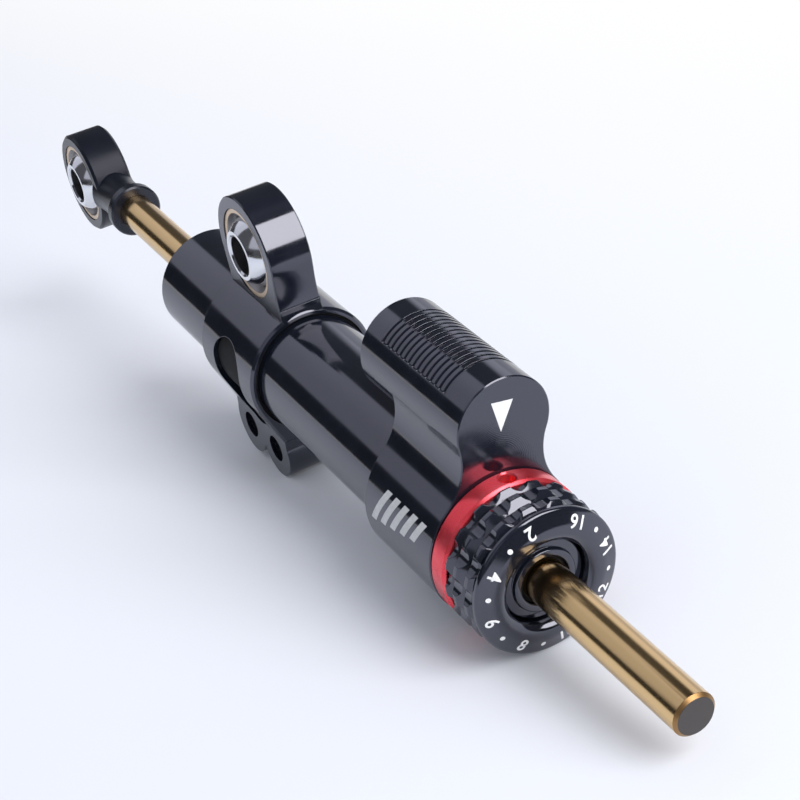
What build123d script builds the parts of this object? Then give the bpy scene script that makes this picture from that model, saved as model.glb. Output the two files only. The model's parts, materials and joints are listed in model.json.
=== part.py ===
"""Motorcycle steering damper with a through rod, click dial, piggyback reservoir and clamp eye.

Lengths are millimetres. +X runs along the rod toward the dial, +Z up toward the clamp eye.
The origin is the centre of the clamp eye's ball bore.
"""
import os
from math import acos, atan2, cos, radians, sin, sqrt

from build123d import *

os.makedirs("parts", exist_ok=True)

# Fits
run_gap = 0.03
seat_gap = 0.02
body_gap = 0.3
spring_gap = 0.1
edge_break = 0.4
fine_break = 0.2

# Cylinder tube and the damper's axis below the clamp eye
tube_r = 12.0
tube_wall = 3.0
tube_bore_r = tube_r - tube_wall
tube_rear_x = -35.7
eye_gap = 11.3
axis_z = -(tube_r + eye_gap)

# Stations of the head block, lock ring and dial
head_rear_x = 61.7
head_front_x = 84.7
head_land = 10.0
tube_front_x = head_front_x - head_land
tube_ring_inset = 3.5
tube_ring_x = tube_front_x - tube_ring_inset
ring_length = 4.5
ring_front_x = head_front_x + ring_length
dial_back_x = ring_front_x + body_gap

# Rod and piston
rod_r = 4.0
rod_front_x = 140.8
rod_tip_break = 0.6
piston_mid_x = 26.0
piston_length = 12.0
piston_port_r = 0.7
piston_port_ring_r = (rod_r + tube_bore_r) / 2
piston_port_count = 4
piston_ring_width = 2.4
piston_ring_depth = 1.4
clip_thickness = 0.8
clip_reach = 1.4
clip_outer_r = rod_r + clip_reach
clip_groove_depth = 0.5
clip_groove_r = rod_r - clip_groove_depth
clip_mouth = 4.6

# O-rings and circlips
o_ring_r = 0.55
o_ring_groove_width = 1.5
o_ring_groove_depth = 1.15
circlip_thickness = 1.0
circlip_groove_depth = 0.7
circlip_reach = 1.6
circlip_mouth = 5.0
circlip_inset = 0.7

# Glands, bushes and seals
gland_stand_off = 1.0
gland_inner_x = tube_front_x + gland_stand_off
gland_ring_step = 4.0
gland_o_ring_x = gland_inner_x + gland_ring_step
gland_seat_depth = 3.0
gland_hole_r = rod_r + body_gap
bush_wall = 1.2
bush_r = rod_r + bush_wall
bush_length = 9.0
seal_wall = 2.4
seal_r = rod_r + seal_wall
seal_length = 2.4
wiper_wall = 1.0
wiper_r = rod_r + wiper_wall
wiper_length = 1.8
wiper_lip = 0.5
rear_gland_length = 13.0
rear_wiper_r = wiper_r + wiper_wall
thread_wall = 0.7
gland_thread_r = wiper_r + thread_wall
nose_step = 1.05
gland_nose_r = gland_thread_r + nose_step
nose_seat_length = 4.7
gland_nose_step_x = dial_back_x + nose_seat_length
nose_thread_length = 3.2
gland_nose_end_x = gland_nose_step_x + nose_thread_length

# Metering ring behind the dial and the boss round it
metering_gap = 0.75
metering_inner_r = gland_nose_r + metering_gap
metering_wall = 2.1
metering_outer_r = metering_inner_r + metering_wall
metering_length = 2.2
metering_port_count = 8
metering_port_r = 0.45
boss_wall = 0.6
gland_boss_r = metering_outer_r + body_gap + boss_wall
gland_seat_r = gland_boss_r

# Head block with its reservoir
head_wall = 2.45
head_r = tube_r + head_wall
lean_deg = 8.2
reservoir_gap = 8.75
reservoir_rise = head_r + reservoir_gap
reservoir_r = 9.15
reservoir_rear_x = 50.3
neck_fillet_r = 11.8
reservoir_wall = 1.95
reservoir_bore_r = reservoir_r - reservoir_wall
reservoir_floor = 4.0
reservoir_floor_x = head_front_x - reservoir_floor
passage_r = 1.2
passage_step = 2.0
passage_x = gland_inner_x + passage_step
head_edge_break = 0.5
rib_groove_count = 15
rib_groove_pitch = 1.51
rib_groove_width = 0.5
rib_groove_depth = 0.45
rib_groove_inset = 6.7
rib_groove_last_x = head_front_x - rib_groove_inset
rib_half_angle_deg = 58.0

# Lock ring and the click detent
ring_inset = 0.15
ring_r = head_r - ring_inset
ring_bore_gap = 0.05
ring_bore_r = gland_boss_r + ring_bore_gap
ring_break = 0.5
pin_hole_r = 1.5
pin_hole_depth = 2.4
pin_hole_break = 0.35
pin_hole_count = 3
pin_start_deg = 2.5
detent_hole_share = 0.32
detent_ring_r = (ring_r + ring_bore_r) / 2
detent_hole_r = (ring_r - ring_bore_r) * detent_hole_share
detent_ball_gap = 0.15
detent_ball_r = detent_hole_r - detent_ball_gap
detent_depth = 5.0
detent_angle_deg = 180.0
detent_count = 16
detent_inset = 0.15
detent_wire_r = 0.2
detent_turns = 7
pocket_depth = detent_ball_r / 3

# Dial: a sloped strip, two beads with sloped flanks, a groove and a lip
bead_rise = 0.05
dial_bead_r = ring_r + bead_rise
bead_depth = 1.35
bead_groove_r = dial_bead_r - bead_depth
strip_land = 0.4
strip_length = 1.5
bead_pitch = 3.65
bead_flank = 0.95
bead_land = 1.1
bead_stack = 8.0
bead_front_x = dial_back_x + bead_stack
lip_groove_width = 0.7
lip_back_x = bead_front_x + lip_groove_width
lip_groove_depth = 1.25
lip_groove_r = dial_bead_r - lip_groove_depth
lip_inset = 0.65
dial_r = head_r - lip_inset
lip_length = 1.8
dial_face_x = lip_back_x + lip_length
lip_round = 0.7
notch_count = 16
notch_r = 2.5
notch_depth = 0.9
notch_start_deg = 0.0

# Dial recess and the ring nut in it
nut_wall = 2.1
nut_r = gland_thread_r + nut_wall
nut_gap = 0.35
dial_recess_r = nut_r + nut_gap
dial_web = 4.5
dial_recess_x = dial_back_x + dial_web
nut_back_x = dial_recess_x + body_gap
nut_length = 2.7
nut_front_x = nut_back_x + nut_length
cove_width = 2.05
dial_cove_outer_r = dial_recess_r + cove_width
dial_cove_depth = 1.5
dial_cove_r = 2.6
nut_break = 0.35
nut_slot_count = 4
nut_slot_width = 1.4
nut_slot_depth = 0.7

# Reservoir parts
cap_inset = 1.0
cap_length = 3.6
cap_socket_r = 2.2
cap_socket_depth = 1.8
float_set_back = 7.5
float_front_x = reservoir_floor_x - float_set_back
float_length = 6.5
float_cup_r = 5.4
float_cup_depth = 3.5
float_ring_inset = 2.1
float_ring_x = float_front_x - float_ring_inset
spring_wire_r = 0.7
spring_mid_r = 4.3
spring_turns = 5

# Spherical bearings
ball_r = 7.94
ball_width = 12.0
ball_bore_r = 4.0
ball_bore_break = 0.45
race_wall = 1.5
race_r = ball_r + race_wall
race_break = 0.35
bearing_housing_width = 9.0
lug_wall = 2.55
lug_r = race_r + lug_wall
lug_edge_break = 0.6

# Clamp and the liner between it and the tube
clamp_rear_x = -11.0
clamp_front_x = 13.0
liner_wall = 0.6
liner_r = tube_r + liner_wall
liner_inset = 0.7
sleeve_wall = 1.15
sleeve_r = liner_r + sleeve_wall
sleeve_edge_break = 0.5
lug_flare_rise = 3.6
flare_lift = 1.4
lug_flare_end_z = axis_z + sleeve_r + flare_lift
ear_face_y = 8.7
ear_top_gap = 0.35
ear_top_drop = sleeve_r + ear_top_gap
ear_gap = 1.6
screw_head_r = 2.75
ear_lobe_wall = 3.45
ear_lobe_r = screw_head_r + ear_lobe_wall
ear_lobe_gap = 4.75
screw_drop = sleeve_r + ear_lobe_gap
screw_spacing = clamp_front_x - clamp_rear_x - 2 * ear_lobe_r
screw_head_height = 3.0
screw_recess = 1.4
screw_shank_r = 1.5
screw_tip_inset = 0.8
screw_key_r = 1.45
screw_key_depth = 1.6
window_width = 12.0
window_top_share = 0.5
window_top_z = sleeve_r * window_top_share
window_bottom_drop = 0.9
window_bottom_z = -(sleeve_r + window_bottom_drop)
window_floor_y = 3.2

# Rod eye
eye_x = -102.0
shank_wall = 2.6
shank_r = rod_r + shank_wall
shank_tail_wall = 1.7
shank_tail_r = rod_r + shank_tail_wall
shank_reach = 21.0
shank_front_x = eye_x + shank_reach
collar_length = 2.8
collar_front_x = shank_front_x + collar_length
collar_wall = 2.2
collar_r = rod_r + collar_wall
neck_half_width = 5.4
neck_reach = 9.3
neck_x = eye_x + neck_reach
rod_socket_reach = 13.7
rod_rear_x = eye_x + rod_socket_reach

rod_axis = Axis((0, 0, axis_z), (1, 0, 0))
rod_profile = Plane(origin=(0, 0, axis_z), x_dir=(1, 0, 0), z_dir=(0, -1, 0))
lean_up = (sin(radians(lean_deg)), cos(radians(lean_deg)))
reservoir_y = reservoir_rise * lean_up[0]
reservoir_z = axis_z + reservoir_rise * lean_up[1]
reservoir_axis = Axis((0, reservoir_y, reservoir_z), (1, 0, 0))
reservoir_profile = Plane(origin=(0, reservoir_y, reservoir_z), x_dir=(1, 0, 0), z_dir=(0, -1, 0))


def across(x):
    """Plane square to the rod at station x, its local Y pointing up."""
    return Plane(origin=(x, 0, axis_z), x_dir=(0, 1, 0), z_dir=(1, 0, 0))


def across_head(x):
    """Plane square to the rod at station x, its local Y pointing at the reservoir."""
    return Plane(origin=(x, 0, axis_z), x_dir=(0, lean_up[1], -lean_up[0]), z_dir=(1, 0, 0))


def band(x_start, x_end, r_in, r_out):
    """Draws the half section of a plain ring between two stations and two radii."""
    Polygon((x_start, r_in), (x_end, r_in), (x_end, r_out), (x_start, r_out), align=None)


def stepped(points):
    """Draws the half section of a turned part from its corner points."""
    Polygon(*points, align=None)


def save(builder, name):
    """Labels a finished sub-part and writes its STEP file."""
    builder.part.label = name
    export_step(builder.part, "parts/" + name + ".step")


# Cylinder tube
with BuildPart() as damper_tube:
    with BuildSketch(across(tube_rear_x)):
        Circle(tube_r)
        Circle(tube_bore_r, mode=Mode.SUBTRACT)
    extrude(amount=tube_front_x - tube_rear_x)
    chamfer(damper_tube.edges().filter_by(GeomType.CIRCLE).group_by(SortBy.RADIUS)[-1], edge_break)
    with BuildSketch(rod_profile):
        groove_x = tube_rear_x + circlip_inset
        band(groove_x, groove_x + circlip_thickness + seat_gap, 0, tube_bore_r + circlip_groove_depth)
        tube_groove_x = tube_ring_x - o_ring_groove_width / 2
        tube_groove_end_x = tube_ring_x + o_ring_groove_width / 2
        band(tube_groove_x, tube_groove_end_x, tube_r - o_ring_groove_depth, tube_r + body_gap)
    revolve(axis=rod_axis, mode=Mode.SUBTRACT)
save(damper_tube, "damper_tube")

# Head block, reservoir and the waisted web between them
neck_reach_z = (reservoir_rise ** 2 + (head_r + neck_fillet_r) ** 2 - (reservoir_r + neck_fillet_r) ** 2)
neck_z = neck_reach_z / (2 * reservoir_rise)
neck_y = sqrt((head_r + neck_fillet_r) ** 2 - neck_z ** 2)
neck_low_share = head_r / (head_r + neck_fillet_r)
neck_high_share = reservoir_r / (reservoir_r + neck_fillet_r)
neck_low = (neck_y * neck_low_share, neck_z * neck_low_share)
neck_high = (neck_y * neck_high_share, reservoir_rise + (neck_z - reservoir_rise) * neck_high_share)
with BuildPart() as head_block:
    with BuildSketch(across_head(head_rear_x)):
        Circle(head_r)
        with BuildLine():
            Line((-neck_low[0], neck_low[1]), neck_low)
            RadiusArc(neck_low, neck_high, neck_fillet_r)
            Line(neck_high, (-neck_high[0], neck_high[1]))
            RadiusArc((-neck_high[0], neck_high[1]), (-neck_low[0], neck_low[1]), neck_fillet_r)
        make_face()
    extrude(amount=head_front_x - head_rear_x)
    with BuildSketch(across_head(reservoir_rear_x)):
        with Locations((0, reservoir_rise)):
            Circle(reservoir_r)
    extrude(amount=head_front_x - reservoir_rear_x)
    chamfer(head_block.faces().sort_by(Axis.X)[-1].edges(), fine_break)
    chamfer(head_block.faces().sort_by(Axis.X)[0].edges(), head_edge_break)
    with BuildSketch(rod_profile):
        band(head_rear_x, tube_front_x, 0, tube_r + seat_gap)
        band(tube_front_x, head_front_x, 0, tube_bore_r)
        band(head_front_x - gland_seat_depth, head_front_x, 0, gland_seat_r + seat_gap)
    revolve(axis=rod_axis, mode=Mode.SUBTRACT)
    with BuildSketch(reservoir_profile):
        band(reservoir_rear_x, reservoir_floor_x, 0, reservoir_bore_r)
        clip_x = reservoir_rear_x + cap_inset - circlip_thickness
        band(clip_x, clip_x + circlip_thickness + seat_gap, 0, reservoir_bore_r + circlip_groove_depth)
    revolve(axis=reservoir_axis, mode=Mode.SUBTRACT)
    rib_start = Plane(
        origin=(0, reservoir_y, reservoir_z),
        x_dir=(1, 0, 0),
        z_dir=(0, -cos(radians(rib_half_angle_deg - lean_deg)), -sin(radians(rib_half_angle_deg - lean_deg))),
    )
    with BuildSketch(rib_start):
        for rib_index in range(rib_groove_count):
            rib_x = rib_groove_last_x - rib_index * rib_groove_pitch
            band(rib_x - rib_groove_width, rib_x, reservoir_r - rib_groove_depth, reservoir_r + body_gap)
    revolve(axis=reservoir_axis, revolution_arc=-2 * rib_half_angle_deg, mode=Mode.SUBTRACT)
    passage_plane = Plane(
        origin=(passage_x, 0, axis_z), x_dir=(1, 0, 0), z_dir=(0, lean_up[0], lean_up[1])
    )
    with BuildSketch(passage_plane.offset(tube_bore_r - edge_break)):
        Circle(passage_r)
    extrude(amount=reservoir_rise - tube_bore_r, mode=Mode.SUBTRACT)
    with BuildSketch(across_head(head_front_x)):
        with PolarLocations(detent_ring_r, 1, start_angle=detent_angle_deg):
            Circle(detent_hole_r)
    extrude(amount=-detent_depth, mode=Mode.SUBTRACT)
save(head_block, "head_block")

# Front gland: seat flange, threaded boss and the nose that carries the dial
boss_recess_x = ring_front_x - metering_length
with BuildPart() as front_gland:
    with BuildSketch(rod_profile):
        stepped([
            (gland_inner_x, gland_hole_r),
            (gland_nose_end_x, gland_hole_r),
            (gland_nose_end_x, gland_thread_r),
            (gland_nose_step_x, gland_thread_r),
            (gland_nose_step_x, gland_nose_r),
            (boss_recess_x, gland_nose_r),
            (boss_recess_x, metering_outer_r + body_gap),
            (ring_front_x, metering_outer_r + body_gap),
            (ring_front_x, gland_boss_r),
            (head_front_x - gland_seat_depth, gland_boss_r),
            (head_front_x - gland_seat_depth, tube_bore_r - seat_gap),
            (gland_inner_x, tube_bore_r - seat_gap),
        ])
    revolve(axis=rod_axis)
    with BuildSketch(rod_profile):
        band(gland_inner_x, gland_inner_x + seal_length, 0, seal_r)
        band(gland_inner_x + seal_length, gland_inner_x + seal_length + bush_length, 0, bush_r)
        band(gland_nose_end_x - wiper_length, gland_nose_end_x, 0, wiper_r)
        front_groove_x = gland_o_ring_x - o_ring_groove_width / 2
        front_groove_end_x = gland_o_ring_x + o_ring_groove_width / 2
        band(front_groove_x, front_groove_end_x, tube_bore_r - o_ring_groove_depth, tube_bore_r + body_gap)
    revolve(axis=rod_axis, mode=Mode.SUBTRACT)
    chamfer(front_gland.edges().filter_by(GeomType.CIRCLE).group_by(Axis.X)[-1].sort_by(SortBy.RADIUS)[-1], fine_break)
save(front_gland, "front_gland")

# Rear gland, held in the tube by an internal circlip
rear_gland_x = tube_rear_x + circlip_inset + circlip_thickness + seat_gap
rear_inner_x = rear_gland_x + rear_gland_length
rear_o_ring_x = rear_inner_x - seal_length - o_ring_groove_width
with BuildPart() as rear_gland:
    with BuildSketch(rod_profile):
        band(rear_gland_x, rear_inner_x, gland_hole_r, tube_bore_r - seat_gap)
    revolve(axis=rod_axis)
    with BuildSketch(rod_profile):
        band(rear_gland_x, rear_gland_x + wiper_length, 0, rear_wiper_r)
        band(rear_inner_x - seal_length - bush_length + edge_break, rear_inner_x - seal_length, 0, bush_r)
        band(rear_inner_x - seal_length, rear_inner_x, 0, seal_r)
        rear_groove_x = rear_o_ring_x - o_ring_groove_width / 2
        rear_groove_end_x = rear_o_ring_x + o_ring_groove_width / 2
        band(rear_groove_x, rear_groove_end_x, tube_bore_r - o_ring_groove_depth, tube_bore_r + body_gap)
    revolve(axis=rod_axis, mode=Mode.SUBTRACT)
save(rear_gland, "rear_gland")

# Rod bushes
with BuildPart() as front_bush:
    with BuildSketch(rod_profile):
        front_bush_x = gland_inner_x + seal_length
        band(front_bush_x, front_bush_x + bush_length, rod_r + run_gap, bush_r - seat_gap)
    revolve(axis=rod_axis)
save(front_bush, "front_bush")

with BuildPart() as rear_bush:
    with BuildSketch(rod_profile):
        rear_bush_end_x = rear_inner_x - seal_length
        rear_bush_x = rear_bush_end_x - bush_length + edge_break
        band(rear_bush_x, rear_bush_end_x, rod_r + run_gap, bush_r - seat_gap)
    revolve(axis=rod_axis)
save(rear_bush, "rear_bush")

# Oil seals with a hollow lip side facing the oil
with BuildPart() as front_oil_seal:
    with BuildSketch(rod_profile):
        band(gland_inner_x, gland_inner_x + seal_length, rod_r + run_gap, seal_r - seat_gap)
    revolve(axis=rod_axis)
    with BuildSketch(rod_profile):
        band(gland_inner_x, gland_inner_x + seal_length / 2, rod_r + wiper_lip, seal_r - wiper_lip)
    revolve(axis=rod_axis, mode=Mode.SUBTRACT)
save(front_oil_seal, "front_oil_seal")

with BuildPart() as rear_oil_seal:
    with BuildSketch(rod_profile):
        band(rear_inner_x - seal_length, rear_inner_x, rod_r + run_gap, seal_r - seat_gap)
    revolve(axis=rod_axis)
    with BuildSketch(rod_profile):
        band(rear_inner_x - seal_length / 2, rear_inner_x, rod_r + wiper_lip, seal_r - wiper_lip)
    revolve(axis=rod_axis, mode=Mode.SUBTRACT)
save(rear_oil_seal, "rear_oil_seal")

# Dust wipers at the outer ends of both glands
with BuildPart() as front_wiper:
    with BuildSketch(rod_profile):
        front_wiper_x = gland_nose_end_x - wiper_length
        stepped([
            (front_wiper_x, rod_r + run_gap),
            (gland_nose_end_x + wiper_lip, rod_r + run_gap),
            (gland_nose_end_x + wiper_lip, rod_r + wiper_lip / 2),
            (gland_nose_end_x, wiper_r - seat_gap),
            (front_wiper_x, wiper_r - seat_gap),
        ])
    revolve(axis=rod_axis)
save(front_wiper, "front_wiper")

with BuildPart() as rear_wiper:
    with BuildSketch(rod_profile):
        rear_wiper_x = rear_gland_x + wiper_length
        stepped([
            (rear_wiper_x, rod_r + run_gap),
            (rear_gland_x - wiper_lip, rod_r + run_gap),
            (rear_gland_x - wiper_lip, rod_r + wiper_lip / 2),
            (rear_gland_x, rear_wiper_r - seat_gap),
            (rear_wiper_x, rear_wiper_r - seat_gap),
        ])
    revolve(axis=rod_axis)
save(rear_wiper, "rear_wiper")

# Static O-rings, each resting on its groove's floor
with BuildPart() as front_gland_o_ring:
    with BuildSketch(rod_profile):
        with Locations((gland_o_ring_x, tube_bore_r - o_ring_groove_depth + o_ring_r)):
            Circle(o_ring_r)
    revolve(axis=rod_axis)
save(front_gland_o_ring, "front_gland_o_ring")

with BuildPart() as rear_gland_o_ring:
    with BuildSketch(rod_profile):
        with Locations((rear_o_ring_x, tube_bore_r - o_ring_groove_depth + o_ring_r)):
            Circle(o_ring_r)
    revolve(axis=rod_axis)
save(rear_gland_o_ring, "rear_gland_o_ring")

with BuildPart() as tube_o_ring:
    with BuildSketch(rod_profile):
        with Locations((tube_ring_x, tube_r - o_ring_groove_depth + o_ring_r)):
            Circle(o_ring_r)
    revolve(axis=rod_axis)
save(tube_o_ring, "tube_o_ring")

# Internal circlips, open at the bottom
with BuildPart() as gland_circlip:
    with BuildSketch(across(tube_rear_x + circlip_inset)):
        Circle(tube_bore_r + circlip_groove_depth - seat_gap)
        Circle(tube_bore_r - circlip_reach, mode=Mode.SUBTRACT)
        with Locations((0, -tube_bore_r)):
            Rectangle(circlip_mouth, tube_bore_r, mode=Mode.SUBTRACT)
    extrude(amount=circlip_thickness)
save(gland_circlip, "gland_circlip")

cap_clip_x = reservoir_rear_x + cap_inset - circlip_thickness
cap_rear_x = cap_clip_x + circlip_thickness + seat_gap
with BuildPart() as cap_circlip:
    with BuildSketch(across_head(cap_clip_x)):
        with Locations((0, reservoir_rise)):
            Circle(reservoir_bore_r + circlip_groove_depth - seat_gap)
            Circle(reservoir_bore_r - circlip_reach, mode=Mode.SUBTRACT)
        with Locations((0, reservoir_rise - reservoir_bore_r)):
            Rectangle(circlip_mouth, reservoir_bore_r, mode=Mode.SUBTRACT)
    extrude(amount=circlip_thickness)
save(cap_circlip, "cap_circlip")

# Reservoir cap with a hexagon key socket
with BuildPart() as reservoir_cap:
    with BuildSketch(across_head(cap_rear_x)):
        with Locations((0, reservoir_rise)):
            Circle(reservoir_bore_r - seat_gap)
    extrude(amount=cap_length)
    chamfer(reservoir_cap.edges().filter_by(GeomType.CIRCLE), fine_break)
    with BuildSketch(across_head(cap_rear_x)):
        with Locations((0, reservoir_rise)):
            RegularPolygon(cap_socket_r, 6)
    extrude(amount=cap_socket_depth, mode=Mode.SUBTRACT)
save(reservoir_cap, "reservoir_cap")

# Floating piston with a ring groove, cupped for its spring
with BuildPart() as floating_piston:
    with BuildSketch(reservoir_profile):
        band(float_front_x - float_length, float_front_x, 0, reservoir_bore_r - run_gap)
    revolve(axis=reservoir_axis)
    with BuildSketch(reservoir_profile):
        cup_floor_x = float_front_x - float_length + float_cup_depth
        band(float_front_x - float_length, cup_floor_x, 0, float_cup_r)
        float_groove_x = float_ring_x - o_ring_groove_width / 2
        float_groove_end_x = float_ring_x + o_ring_groove_width / 2
        float_groove_r = reservoir_bore_r - o_ring_groove_depth
        band(float_groove_x, float_groove_end_x, float_groove_r, reservoir_bore_r + body_gap)
    revolve(axis=reservoir_axis, mode=Mode.SUBTRACT)
save(floating_piston, "floating_piston")

with BuildPart() as floating_piston_ring:
    with BuildSketch(reservoir_profile):
        with Locations((float_ring_x, float_groove_r + o_ring_r)):
            Circle(o_ring_r)
    revolve(axis=reservoir_axis)
save(floating_piston_ring, "floating_piston_ring")

# Coil spring between the cap and the floating piston's cup
coil_start_x = cap_rear_x + cap_length + spring_wire_r
coil_length = cup_floor_x - spring_wire_r - coil_start_x
with BuildPart() as reservoir_spring:
    with BuildLine():
        coil_path = Helix(
            coil_length / spring_turns,
            coil_length,
            spring_mid_r,
            center=(coil_start_x, reservoir_y, reservoir_z),
            direction=(1, 0, 0),
        )
    with BuildSketch(Plane(origin=coil_path @ 0, z_dir=coil_path % 0)):
        Circle(spring_wire_r)
    sweep()
save(reservoir_spring, "reservoir_spring")

# Red lock ring with radial pin spanner holes
with BuildPart() as lock_ring:
    with BuildSketch(across_head(head_front_x)):
        Circle(ring_r)
        Circle(ring_bore_r, mode=Mode.SUBTRACT)
    extrude(amount=ring_front_x - head_front_x)
    chamfer(lock_ring.edges().filter_by(GeomType.CIRCLE).group_by(SortBy.RADIUS)[-1], ring_break)
    ring_mid_x = (head_front_x + ring_front_x) / 2
    for pin_index in range(pin_hole_count):
        pin_turn = radians(lean_deg - pin_start_deg + 360 * pin_index / pin_hole_count)
        pin_out = (0, sin(pin_turn), cos(pin_turn))
        pin_plane = Plane(origin=(ring_mid_x, 0, axis_z), x_dir=(1, 0, 0), z_dir=pin_out)
        with BuildSketch(pin_plane.offset(ring_r - pin_hole_depth)):
            Circle(pin_hole_r)
        extrude(amount=pin_hole_depth + body_gap, mode=Mode.SUBTRACT)
        with Locations(pin_plane.offset(ring_r)):
            Cone(pin_hole_r, pin_hole_r + 2 * pin_hole_break, 2 * pin_hole_break, mode=Mode.SUBTRACT)
    with BuildSketch(across_head(head_front_x)):
        with PolarLocations(detent_ring_r, 1, start_angle=detent_angle_deg):
            Circle(detent_hole_r)
    extrude(amount=ring_front_x - head_front_x, mode=Mode.SUBTRACT)
save(lock_ring, "lock_ring")

# Detent ball and the spring behind it
detent_y = detent_ring_r * cos(radians(detent_angle_deg)) * lean_up[1]
detent_z = axis_z - detent_ring_r * cos(radians(detent_angle_deg)) * lean_up[0]
detent_ball_x = ring_front_x - detent_ball_r - detent_inset
with BuildPart() as detent_ball:
    with Locations((detent_ball_x, detent_y, detent_z)):
        Sphere(detent_ball_r)
save(detent_ball, "detent_ball")

detent_floor_x = head_front_x - detent_depth
detent_coil_x = detent_floor_x + detent_wire_r
detent_coil_length = detent_ball_x - detent_ball_r - detent_wire_r - detent_coil_x
with BuildPart() as detent_spring:
    with BuildLine():
        detent_path = Helix(
            detent_coil_length / detent_turns,
            detent_coil_length,
            detent_hole_r - detent_wire_r - spring_gap,
            center=(detent_coil_x, detent_y, detent_z),
            direction=(1, 0, 0),
        )
    with BuildSketch(Plane(origin=detent_path @ 0, z_dir=detent_path % 0)):
        Circle(detent_wire_r)
    sweep()
save(detent_spring, "detent_spring")

# Adjuster dial: a sloped strip and two beads, all scalloped, then a groove, a lip and a coved recess
first_groove_x = dial_back_x + strip_length
second_groove_x = first_groove_x + bead_pitch
with BuildPart() as adjuster_dial:
    with BuildSketch(rod_profile):
        stepped([
            (dial_back_x, gland_nose_r + run_gap),
            (dial_recess_x, gland_nose_r + run_gap),
            (dial_recess_x, dial_recess_r),
            (dial_face_x, dial_recess_r),
            (dial_face_x, dial_r),
            (lip_back_x, dial_r),
            (lip_back_x, lip_groove_r),
            (bead_front_x, lip_groove_r),
            (second_groove_x + bead_flank + bead_land, dial_bead_r),
            (second_groove_x + bead_flank, dial_bead_r),
            (second_groove_x, bead_groove_r),
            (first_groove_x + bead_flank + bead_land, dial_bead_r),
            (first_groove_x + bead_flank, dial_bead_r),
            (first_groove_x, bead_groove_r),
            (dial_back_x + strip_land, dial_bead_r),
            (dial_back_x, dial_bead_r),
        ])
    revolve(axis=rod_axis)
    lip_edges = adjuster_dial.edges().filter_by(GeomType.CIRCLE).group_by(Axis.X)[-1]
    fillet(lip_edges.sort_by(SortBy.RADIUS)[-1], lip_round)
    with BuildSketch(rod_profile):
        with BuildLine():
            Line((dial_face_x, dial_cove_outer_r), (dial_face_x, dial_recess_r))
            Line((dial_face_x, dial_recess_r), (dial_face_x - dial_cove_depth, dial_recess_r))
            cove_start = (dial_face_x - dial_cove_depth, dial_recess_r)
            RadiusArc(cove_start, (dial_face_x, dial_cove_outer_r), dial_cove_r)
        make_face()
    revolve(axis=rod_axis, mode=Mode.SUBTRACT)
    with BuildSketch(across_head(dial_back_x)):
        with PolarLocations(dial_bead_r + notch_r - notch_depth, notch_count, start_angle=notch_start_deg):
            Circle(notch_r)
    extrude(amount=bead_stack, mode=Mode.SUBTRACT)
    with BuildSketch(across_head(dial_back_x)):
        with PolarLocations(detent_ring_r, detent_count, start_angle=detent_angle_deg):
            Circle(detent_ball_r - pocket_depth)
    extrude(amount=pocket_depth, taper=45, mode=Mode.SUBTRACT)
save(adjuster_dial, "adjuster_dial")

# Metering ring on the dial's back, running in the gland's recess
with BuildPart() as metering_ring:
    with BuildSketch(across_head(boss_recess_x + body_gap)):
        Circle(metering_outer_r)
        Circle(metering_inner_r, mode=Mode.SUBTRACT)
        with PolarLocations((metering_outer_r + metering_inner_r) / 2, metering_port_count):
            Circle(metering_port_r, mode=Mode.SUBTRACT)
    extrude(amount=dial_back_x - boss_recess_x - body_gap)
save(metering_ring, "metering_ring")

# Ring nut that keeps the dial on the gland's nose
with BuildPart() as dial_nut:
    with BuildSketch(across_head(nut_back_x)):
        Circle(nut_r)
        Circle(gland_thread_r + seat_gap, mode=Mode.SUBTRACT)
    extrude(amount=nut_front_x - nut_back_x)
    nut_rim = dial_nut.edges().filter_by(GeomType.CIRCLE).group_by(Axis.X)[-1]
    chamfer(nut_rim, nut_break)
    with BuildSketch(across_head(nut_front_x)):
        with PolarLocations(nut_r, nut_slot_count):
            Rectangle(nut_slot_width, nut_slot_width)
    extrude(amount=-nut_slot_depth, mode=Mode.SUBTRACT)
save(dial_nut, "dial_nut")

# Through rod with two circlip grooves
piston_rear_x = piston_mid_x - piston_length / 2
piston_front_x = piston_mid_x + piston_length / 2
with BuildPart() as piston_rod:
    with BuildSketch(across(rod_rear_x)):
        Circle(rod_r)
    extrude(amount=rod_front_x - rod_rear_x)
    chamfer(piston_rod.edges().filter_by(GeomType.CIRCLE).sort_by(Axis.X)[-1], rod_tip_break)
    with BuildSketch(rod_profile):
        band(piston_rear_x - clip_thickness, piston_rear_x, clip_groove_r, rod_r + body_gap)
        band(piston_front_x, piston_front_x + clip_thickness, clip_groove_r, rod_r + body_gap)
    revolve(axis=rod_axis, mode=Mode.SUBTRACT)
save(piston_rod, "piston_rod")

# Piston with axial oil ports and a ring groove
with BuildPart() as piston:
    with BuildSketch(across(piston_rear_x)):
        Circle(tube_bore_r - body_gap)
        Circle(rod_r + seat_gap, mode=Mode.SUBTRACT)
        with PolarLocations(piston_port_ring_r, piston_port_count):
            Circle(piston_port_r, mode=Mode.SUBTRACT)
    extrude(amount=piston_length)
    with BuildSketch(rod_profile):
        ring_groove_x = piston_mid_x - piston_ring_width / 2
        ring_groove_end_x = piston_mid_x + piston_ring_width / 2
        band(ring_groove_x, ring_groove_end_x, tube_bore_r - piston_ring_depth, tube_bore_r + body_gap)
    revolve(axis=rod_axis, mode=Mode.SUBTRACT)
save(piston, "piston")

with BuildPart() as piston_ring:
    with BuildSketch(rod_profile):
        ring_inner_r = tube_bore_r - piston_ring_depth + seat_gap
        band(ring_groove_x, ring_groove_end_x, ring_inner_r, tube_bore_r - run_gap)
    revolve(axis=rod_axis)
save(piston_ring, "piston_ring")

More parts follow.
